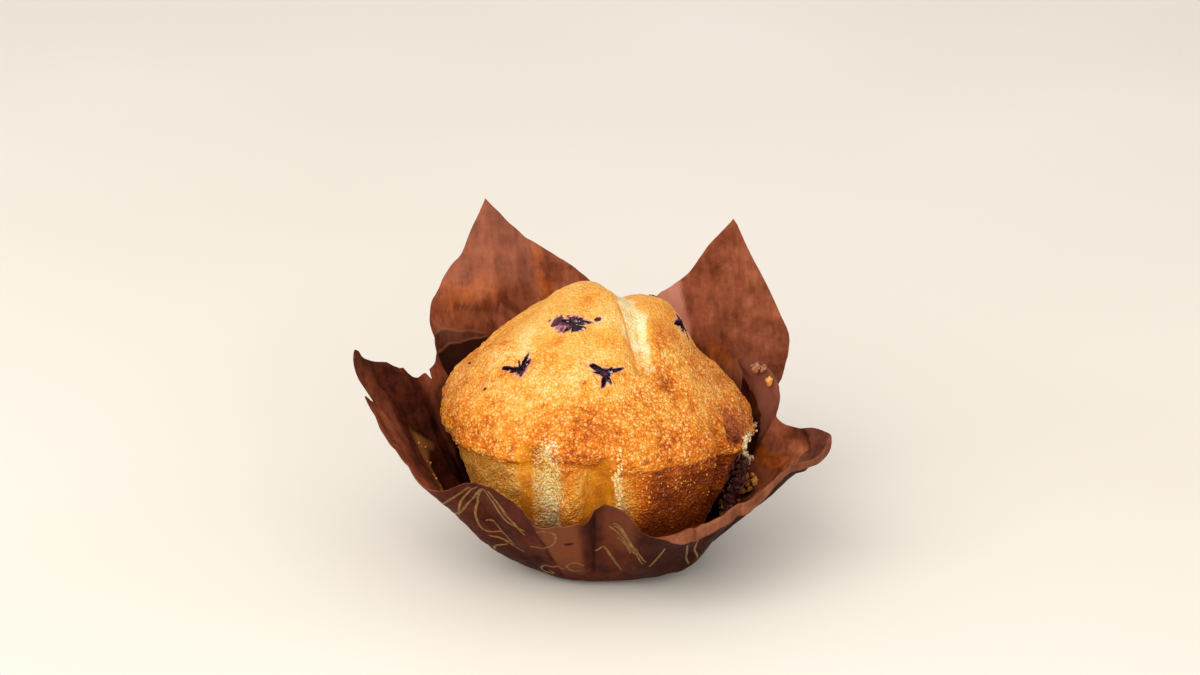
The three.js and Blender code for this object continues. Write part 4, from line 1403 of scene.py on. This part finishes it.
coat(tree, shader, both_sides, remap(tree, mottle, 0.3, 0.7, 0.70, 0.50))
shader.inputs["Specular IOR Level"].default_value = 0.05
fine = bump(tree, shader, fibres, 0.00012, 0.6)
bump(tree, shader, noise_node(tree, 260, 4.0, 0.6), 0.0003, 0.5, fine)
case.data.materials.append(paper)
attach(case, "root")
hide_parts("paper_case")

# ---------------------------------------------------------------------------
# Gold print: thin curls printed on the outside of the sheet before it was pressed,
# a common scroll ornament of plumes, hooks and paired lines. Each line is a very thin
# strip that lies on the paper and follows its folds.
PRINT_LIFT = 0.05
PRINT_SINK = 0.06
LINE_WIDTH = 0.66
PRINT_LOW = 0.12
PRINT_HIGH = 0.993


def on_outside(azimuth, share):
    """Point and outward direction on the outside of the sheet."""
    column = (np.asarray(azimuth) % 360) / 360 * CASE_COLUMNS
    row = BASE_ROWS + np.clip(share, 0, 1) ** (1 / ROW_POWER) * WALL_ROWS
    c0 = np.floor(column).astype(int)
    r0 = np.minimum(np.floor(row).astype(int), case_rows - 2)
    fc = (column - c0)[:, None]
    fr = (row - r0)[:, None]
    c1 = (c0 + 1) % CASE_COLUMNS
    c0 = c0 % CASE_COLUMNS
    mixed = []
    for field in (outer, outer_side):
        low = field[r0, c0] * (1 - fc) + field[r0, c1] * fc
        high = field[r0 + 1, c0] * (1 - fc) + field[r0 + 1, c1] * fc
        mixed.append(low * (1 - fr) + high * fr)
    return mixed[0], mixed[1] / np.linalg.norm(mixed[1], axis=1, keepdims=True)


def scroll(turns, size, tail, samples=40):
    """A curl that opens out into a tail, in millimetres across and up the sheet."""
    t = np.linspace(0, 1, samples)
    angle = 2 * np.pi * turns * (1 - t) ** 1.3
    radius = size * (0.18 + 0.82 * t)
    x = radius * np.cos(angle) + tail[0] * step(0.55, 1, t)
    y = radius * np.sin(angle) + tail[1] * step(0.55, 1, t)
    return np.stack([x, y], -1)


def arc(length, bend, lean, samples=26):
    """A plain bowed line of that length."""
    t = np.linspace(0, 1, samples)
    angle = lean + bend * (t - 0.5)
    steps = np.stack([np.cos(angle), np.sin(angle)], -1) * length / samples
    return np.cumsum(steps, axis=0)


def plume(size):
    """Four bowed lines that fan out from one foot."""
    return [arc(size * (1 - 0.13 * k), 1.5 - 0.25 * k, math.radians(-118 + 17 * k)) for k in range(4)]


def lay(lines, azimuth, share, turned=0.0, mirrored=False):
    """Puts lines given in millimetres at a place on the sheet."""
    placed = []
    c, s = math.cos(turned), math.sin(turned)
    radius = float(wall_at(np.array([azimuth]), np.array([share]))[0][0])
    height = math.hypot(float(rim_height(azimuth)), float(rim_reach(azimuth)) - BASE_RADIUS)
    for line in lines:
        x = line[:, 0] * (-1 if mirrored else 1)
        u = x * c - line[:, 1] * s
        v = x * s + line[:, 1] * c
        placed.append((azimuth + np.degrees(u / radius), share + v / height))
    return placed


def rounded(points, passes=3):
    """A smooth line past the given (azimuth, share) places, as azimuths and shares."""
    line = np.array(points, float)
    for _ in range(passes):
        a = line[:-1]
        b = line[1:]
        cut = np.stack([0.75 * a + 0.25 * b, 0.25 * a + 0.75 * b], 1).reshape(-1, 2)
        line = np.concatenate([line[:1], cut, line[-1:]])
    return line[:, 0], line[:, 1]


# Scrolls on the front: a spray of long leaves, two hooks, an open curl, a plume and paired stems
FRONT_SCROLLS = [
    [(220.5, 0.90), (223.0, 0.950), (226.5, 0.980), (230.0, 0.990)],
    [(222.0, 0.84), (224.2, 0.900), (226.5, 0.950), (229.0, 0.975), (232.5, 0.990)],
    [(211.5, 0.67), (220.0, 0.820), (228.0, 0.930), (234.0, 0.985)],
    [(234.8, 0.99), (232.5, 0.962), (230.2, 0.937), (228.0, 0.885)]
    + [(226.5, 0.82), (225.8, 0.74), (228.0, 0.715), (232.0, 0.70)],
    [(234.8, 0.985), (234.8, 0.912), (235.5, 0.863), (237.2, 0.800), (241.5, 0.813)],
    [(235.5, 0.985), (236.4, 0.925), (237.0, 0.875), (238.2, 0.838), (241.0, 0.770)],
    [(228.4, 0.79), (229.6, 0.790), (231.0, 0.740), (232.5, 0.666), (234.5, 0.610)],
    [(226.8, 0.69), (230.0, 0.665), (232.0, 0.60), (236.2, 0.545)],
    [(222.8, 0.545), (226.0, 0.60), (231.0, 0.605)],
    [(247.5, 0.93), (250.0, 0.985), (253.4, 0.98), (254.4, 0.93)]
    + [(253.5, 0.87), (250.5, 0.81), (245.0, 0.72), (241.0, 0.67)],
    [(273.8, 0.90), (276.0, 0.905), (279.0, 0.865), (284.2, 0.80), (287.0, 0.72)],
    [(274.2, 0.885), (276.4, 0.885), (279.2, 0.845), (284.0, 0.78), (286.2, 0.70)],
    [(276.0, 0.813), (278.5, 0.80), (281.2, 0.751)],
    [(272.5, 0.87), (277.0, 0.84), (283.0, 0.76)],
    [(267.8, 0.702), (270.8, 0.715), (273.8, 0.64), (276.0, 0.56), (279.0, 0.509)],
    [(300.0, 0.80), (303.5, 0.66), (308.0, 0.497)],
    [(304.0, 0.80), (307.5, 0.67), (312.0, 0.52)],
    [(291.8, 0.85), (291.0, 0.75), (288.8, 0.653)],
    [(262.5, 0.60), (258.0, 0.64), (254.0, 0.58), (256.0, 0.50), (260.5, 0.52)],
]
marks = [rounded(line) for line in FRONT_SCROLLS]
marks += lay([scroll(1.2, 3.0, (3.0, 2.0))], 244, 0.40, 0.4)
# Scrolls strewn over the rest of the sheet, clear of each other and of the front ones
SCATTER_TRIES = 90
TURN_SHARE = 0.381966  # share of a whole turn from one try to the next
SCROLL_GAP = 12.5
FRONT_FROM = 208
FRONT_TO = 314
scatter = np.random.default_rng(11)
placed = []
for k in range(SCATTER_TRIES):
    at = 360.0 * ((k * TURN_SHARE) % 1) + scatter.uniform(-2.5, 2.5)
    share = scatter.uniform(0.28, 0.88)
    turned = scatter.uniform(-math.pi, math.pi)
    kind = scatter.integers(0, 4)
    size = scatter.uniform(2.4, 4.6)
    mirrored = bool(scatter.integers(0, 2))
    middle = on_outside(np.array([at, at]), np.array([share, share]))[0][0]
    crowded = any(np.linalg.norm(middle - other) < SCROLL_GAP for other in placed)
    if FRONT_FROM < at < FRONT_TO or crowded:
        continue
    placed.append(middle)
    if kind == 0:
        motif = [scroll(1.1, size, (size, -size * 0.5))]
    elif kind == 1:
        motif = [arc(size * 2.6, 1.3, 0.0), arc(size * 2.2, 1.3, 0.0) + (0.6, 1.3)]
    elif kind == 2:
        motif = plume(size * 3.2)
    else:
        motif = [scroll(0.8, size, (-size, size * 0.4)), arc(size * 1.6, -0.9, 1.0) + (size * 0.4, 0)]
    marks += lay(motif, at, share, turned, mirrored)

strips = []
for azimuth, share in marks:
    keep = (share > PRINT_LOW) & (share < PRINT_HIGH)
    if keep.sum() < 5:
        continue
    first, last = np.flatnonzero(keep)[[0, -1]]
    azimuth = azimuth[first : last + 1]
    share = np.clip(share[first : last + 1], 0.1, PRINT_HIGH)
    centre, up = on_outside(azimuth, share)
    along = np.gradient(centre, axis=0)
    across = np.cross(up, along)
    across = across / np.maximum(np.linalg.norm(across, axis=1, keepdims=True), 1e-9)
    taper = 0.28 + 0.72 * np.sin(np.pi * np.linspace(0.08, 0.95, len(centre)))
    half = (LINE_WIDTH / 2 * taper)[:, None]
    ring = [
        centre - across * half - PRINT_SINK * up,
        centre + across * half - PRINT_SINK * up,
        centre + across * half + up * PRINT_LIFT,
        centre - across * half + up * PRINT_LIFT,
    ]
    end = 4 * (len(centre) - 1)
    faces = []
    for a in range(0, end, 4):
        for e, f in ((0, 1), (1, 2), (2, 3), (3, 0)):
            faces.append((a + e, a + f, a + 4 + f, a + 4 + e))
    faces += [(3, 2, 1, 0), (end, end + 1, end + 2, end + 3)]
    strips.append((np.stack(ring, 1).reshape(-1, 3), faces))
gold_print = add_object("gold_print", *joined(strips), smooth=False)

gold, tree, shader = new_material("gold_print_ink")
worn = noise_node(tree, 700, 4.0, 0.65)
gold_colour = ramp(tree, worn, [(0.32, 78, 46, 12), (0.5, 118, 78, 20), (0.7, 148, 106, 38)])
coat(tree, shader, gold_colour, remap(tree, worn, 0.3, 0.7, 0.6, 0.42))
shader.inputs["Metallic"].default_value = 0.25
gold_print.data.materials.append(gold)
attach(gold_print, "root")

# ---------------------------------------------------------------------------
# Crumbs: bits of crust and crumb that tore off when the paper was pulled away. They
# stick to the greasy inside of the case at the right, and a few lie at the left.

# Lines of crumbs between the muffin's right lobe and the paper, as points
PALE_CHAIN = [(39.9, 7.3, 30.0), (38.6, -3.5, 33.2), (37.6, -9.0, 34.3)]
PALE_CHAIN += [(35.9, -15.9, 35.9), (35.6, -16.2, 34.2)]
LOW_CHAIN = [(36.0, -14.6, 32.4), (37.0, -9.5, 29.0), (37.8, -4.0, 25.4), (38.4, 0.0, 22.6)]
STAINED_CHAIN = [(36.6, -9.5, 27.6), (35.4, -10.0, 23.5), (33.6, -10.5, 19.0), (31.6, -11.0, 14.6)]
GOLD_CHAIN = [(37.1, 5.3, 21.7), (38.2, 0.8, 21.7), (36.9, 0.8, 18.9)]
GOLD_CHAIN += [(38.5, -0.9, 17.9), (38.6, -2.6, 16.6), (35.4, -1.5, 13.2)]
# Bigger crumbs on the paper: azimuth, share, size
GOLD_CRUMBS = [(354.8, 0.727, 1.9), (12.2, 0.985, 2.2), (358.0, 0.72, 1.4)]
GOLD_CRUMBS += [(2.0, 0.66, 1.2), (357.0, 0.75, 1.2)]
TAN_CRUMB = [(16.5, 0.985, 3.0), (15.0, 0.995, 1.8)]
LUMP_LIFT = 0.25  # how far a crumb's middle stands off its spot, as a share of its size
LUMP_KINDS = 14


def inside_point(azimuth, share):
    """Point and inward direction on the inner face of the paper."""
    column = int(round(azimuth / 360 * CASE_COLUMNS)) % CASE_COLUMNS
    row = int(round(BASE_ROWS + share ** (1 / ROW_POWER) * WALL_ROWS))
    return inner[row, column], -outer_side[row, column]


def above_paper(spots):
    """Moves every spot inward until its crumb lies on the inner face of the case."""
    faces = inner.reshape(-1, 3)
    inward = -outer_side.reshape(-1, 3)
    tree = search_tree(faces)
    moved = []
    for spot, out, size in spots:
        middle = np.asarray(spot) + np.asarray(out) * size * LUMP_LIFT
        for _ in range(3):
            k = tree.find(middle.tolist())[1]
            height = float((middle - faces[k]) @ inward[k])
            middle = middle + inward[k] * max(0.0, 0.55 * size - height)
        moved.append((middle, (0, 0, 0), size))
    return moved


def rough_lumps(name, spots, colours, seed, rows=9, columns=14):
    """Joined rough lumps, each given as (point, outward direction, size)."""
    draw = np.random.default_rng(seed)
    unit = ball_points(rows, columns)
    faces = closed_grid_faces(rows, columns)
    kinds = [unit * (1 + 0.6 * noise(unit + n * 3.7, 0.6, seed))[:, None] for n in range(LUMP_KINDS)]
    lumps = []
    for n, (spot, out, size) in enumerate(spots):
        shape = kinds[n % LUMP_KINDS] * draw.uniform(0.7, 1.2, 3) * size / 2
        spin = draw.uniform(0, 2 * np.pi)
        c, s = math.cos(spin), math.sin(spin)
        middle = np.asarray(spot) + np.asarray(out) * size * LUMP_LIFT
        lumps.append((middle + shape @ np.array([[c, -s, 0], [s, c, 0], [0, 0, 1]]), faces))
    heap = add_object(name, *joined(lumps))
    material, tree, shader = new_material(name + "_crumb")
    coat(tree, shader, ramp(tree, noise_node(tree, 800, 4.0, 0.65), colours), 0.6)
    shader.inputs["Subsurface Weight"].default_value = 0.15
    shader.inputs["Subsurface Radius"].default_value = (1.0, 0.5, 0.25)
    shader.inputs["Subsurface Scale"].default_value = 0.001
    bump(tree, shader, noise_node(tree, 1800, 3.0), 0.0003, 0.8)
    heap.data.materials.append(material)
    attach(heap, "root")


def along_chain(chain, count, spread, low, high, draw):
    """Spots strewn along a line of points."""
    spots = []
    for place in np.linspace(0, len(chain) - 1.001, count):
        k = int(place)
        t = place - k
        middle = np.array(chain[k]) * (1 - t) + np.array(chain[k + 1]) * t
        spots.append((middle + draw.normal(0, spread, 3), (0, 0, 0), draw.uniform(low, high)))
    return spots


crumb_draw = np.random.default_rng(5)
pale_spots = along_chain(PALE_CHAIN, 18, 0.3, 0.6, 1.4, crumb_draw)
pale_spots += along_chain(PALE_CHAIN, 44, 0.5, 0.35, 0.8, crumb_draw)
pale_spots += along_chain(LOW_CHAIN, 26, 0.4, 0.4, 1.1, crumb_draw)
stained_spots = along_chain(STAINED_CHAIN, 26, 0.5, 0.9, 2.2, crumb_draw)
stained_spots += along_chain(STAINED_CHAIN, 40, 0.9, 0.4, 1.0, crumb_draw)
gold_spots = along_chain(GOLD_CHAIN, 24, 0.7, 0.7, 1.7, crumb_draw)
gold_spots += [(*inside_point(azimuth, share), size) for azimuth, share, size in GOLD_CRUMBS]
CRUMBS_RIGHT = 80
CRUMBS_LEFT = 14
for _ in range(CRUMBS_RIGHT):
    share = crumb_draw.uniform(0.46, 0.76)
    azimuth = (2 + (share - 0.6) * 20 + crumb_draw.normal(0, 4.5)) % 360
    gold_spots.append((*inside_point(azimuth, share), crumb_draw.uniform(0.35, 1.1)))
for _ in range(CRUMBS_LEFT):
    share = crumb_draw.uniform(0.66, 0.72)
    azimuth = crumb_draw.uniform(189, 204)
    gold_spots.append((*inside_point(azimuth, share), crumb_draw.uniform(0.3, 0.6)))
tan_spots = [(*inside_point(azimuth, share), size) for azimuth, share, size in TAN_CRUMB]
HEAPS = [
    ("crumbs_stained", stained_spots, [(0.35, 50, 18, 20), (0.65, 104, 46, 38)], 9),
    ("crumbs_pale", pale_spots, [(0.35, 176, 136, 84), (0.65, 240, 222, 182)], 3),
    ("crumbs_golden", gold_spots, [(0.35, 176, 98, 30), (0.65, 244, 176, 84)], 4),
    ("crumb_tan", tan_spots, [(0.35, 120, 66, 40), (0.65, 186, 118, 78)], 6),
]
for name, spots, colours, seed in HEAPS:
    rough_lumps(name, above_paper(spots), colours, seed)

# Loose grains of crumb on the muffin's skin, thickest on the torn edges
x, y, z = muffin_skin.T
side_share_at = share_at - seam_at
front = step(-18, -24, y)
bank_line = 3.9 + 0.5 * np.sin(z * 0.5) + 0.3 * np.sin(z * 1.3 + 1)
torn_bank = bell(x - bank_line, 0.45) * front * between(z, 12, 42, 2)
cream_weight = torn_bank + 0.012 * crumb_mask(muffin_skin)
gold_weight = 0.05 * bell(x - 7, 3.5) * front * between(side_share_at, -0.2, 0.02, 0.03)
right_band = between(azimuth_at, 280, 330, 8) * between(side_share_at, -0.14, -0.02, 0.03)
left_band = between(azimuth_at, 195, 262, 8) * between(side_share_at, -0.2, 0.0, 0.03)
gold_weight = gold_weight + 0.02 * right_band + 0.04 * left_band


def scattered_grains(weight, count, low, high, seed):
    """Grains on the muffin's skin, likeliest where the weight is high."""
    draw = np.random.default_rng(seed)
    picked = draw.choice(len(weight), count, p=weight / weight.sum())
    size = draw.uniform(low, high, count)
    skin_now = muffin.data.vertices
    return [(muffin_skin[k], tuple(skin_now[int(k)].normal), grain) for k, grain in zip(picked, size)]


grains = scattered_grains(cream_weight, 170, 0.35, 0.95, 21)
rough_lumps("grains_cream", grains, [(0.35, 232, 176, 88), (0.65, 252, 224, 166)], 7, 5, 8)
grains = scattered_grains(gold_weight, 420, 0.3, 0.65, 22)
rough_lumps("grains_golden", grains, [(0.35, 206, 118, 22), (0.65, 240, 168, 66)], 8, 4, 6)

# ---------------------------------------------------------------------------
# Floor, light and camera: a plain pale floor, a large soft lamp from the upper left
# and two weaker ones from the right and low in front, and a long lens that looks down.
FLOOR_HALF = 3000.0
floor_corners = [(x * FLOOR_HALF, y * FLOOR_HALF, 0) for x, y in ((-1, -1), (1, -1), (1, 1), (-1, 1))]
floor = add_object("floor", floor_corners, [(0, 1, 2, 3)], smooth=False)
material, tree, shader = new_material("pale_floor")
floor_colour = ramp(tree, noise_node(tree, 3.0, 2.0, 0.5), [(0.3, 224, 216, 206), (0.7, 232, 226, 217)])
coat(tree, shader, floor_colour, 0.6)
floor.data.materials.append(material)

world = bpy.data.worlds.new("studio")
world.use_nodes = True
world.node_tree.nodes["Background"].inputs["Color"].default_value = (1.0, 0.98, 0.95, 1.0)
world.node_tree.nodes["Background"].inputs["Strength"].default_value = 0.84
bpy.context.scene.world = world


def add_lamp(name, place, aim, size, power, colour):
    data = bpy.data.lights.new(name, "AREA")
    data.shape = "DISK"
    data.size = size
    data.energy = power
    data.color = colour
    lamp = bpy.data.objects.new(name, data)
    lamp.location = place
    toward = np.array(aim) - np.array(place)
    toward = toward / np.linalg.norm(toward)
    lamp.rotation_euler = (math.acos(-toward[2]), 0, math.atan2(toward[1], toward[0]) - math.pi / 2)
    bpy.context.scene.collection.objects.link(lamp)


add_lamp("key_lamp", (-0.52, -0.62, 0.84), (0, 0, 0.04), 1.3, 9.5, (1.0, 0.965, 0.91))
add_lamp("fill_lamp", (0.75, -0.80, 0.65), (0, 0, 0.04), 0.9, 2.6, (1.0, 0.98, 0.96))
add_lamp("front_lamp", (-0.30, -1.00, 0.20), (0, 0, 0.03), 0.7, 2.4, (1.0, 0.92, 0.80))

camera_data = bpy.data.cameras.new("camera")
camera_data.lens = 85
camera_data.sensor_width = 36
camera = bpy.data.objects.new("camera", camera_data)
camera.location = (-0.0005, -0.66714, 0.3268)
camera.rotation_euler = (math.radians(68), 0, 0)
bpy.context.scene.collection.objects.link(camera)
bpy.context.scene.camera = camera
bpy.context.scene.view_settings.view_transform = "Standard"
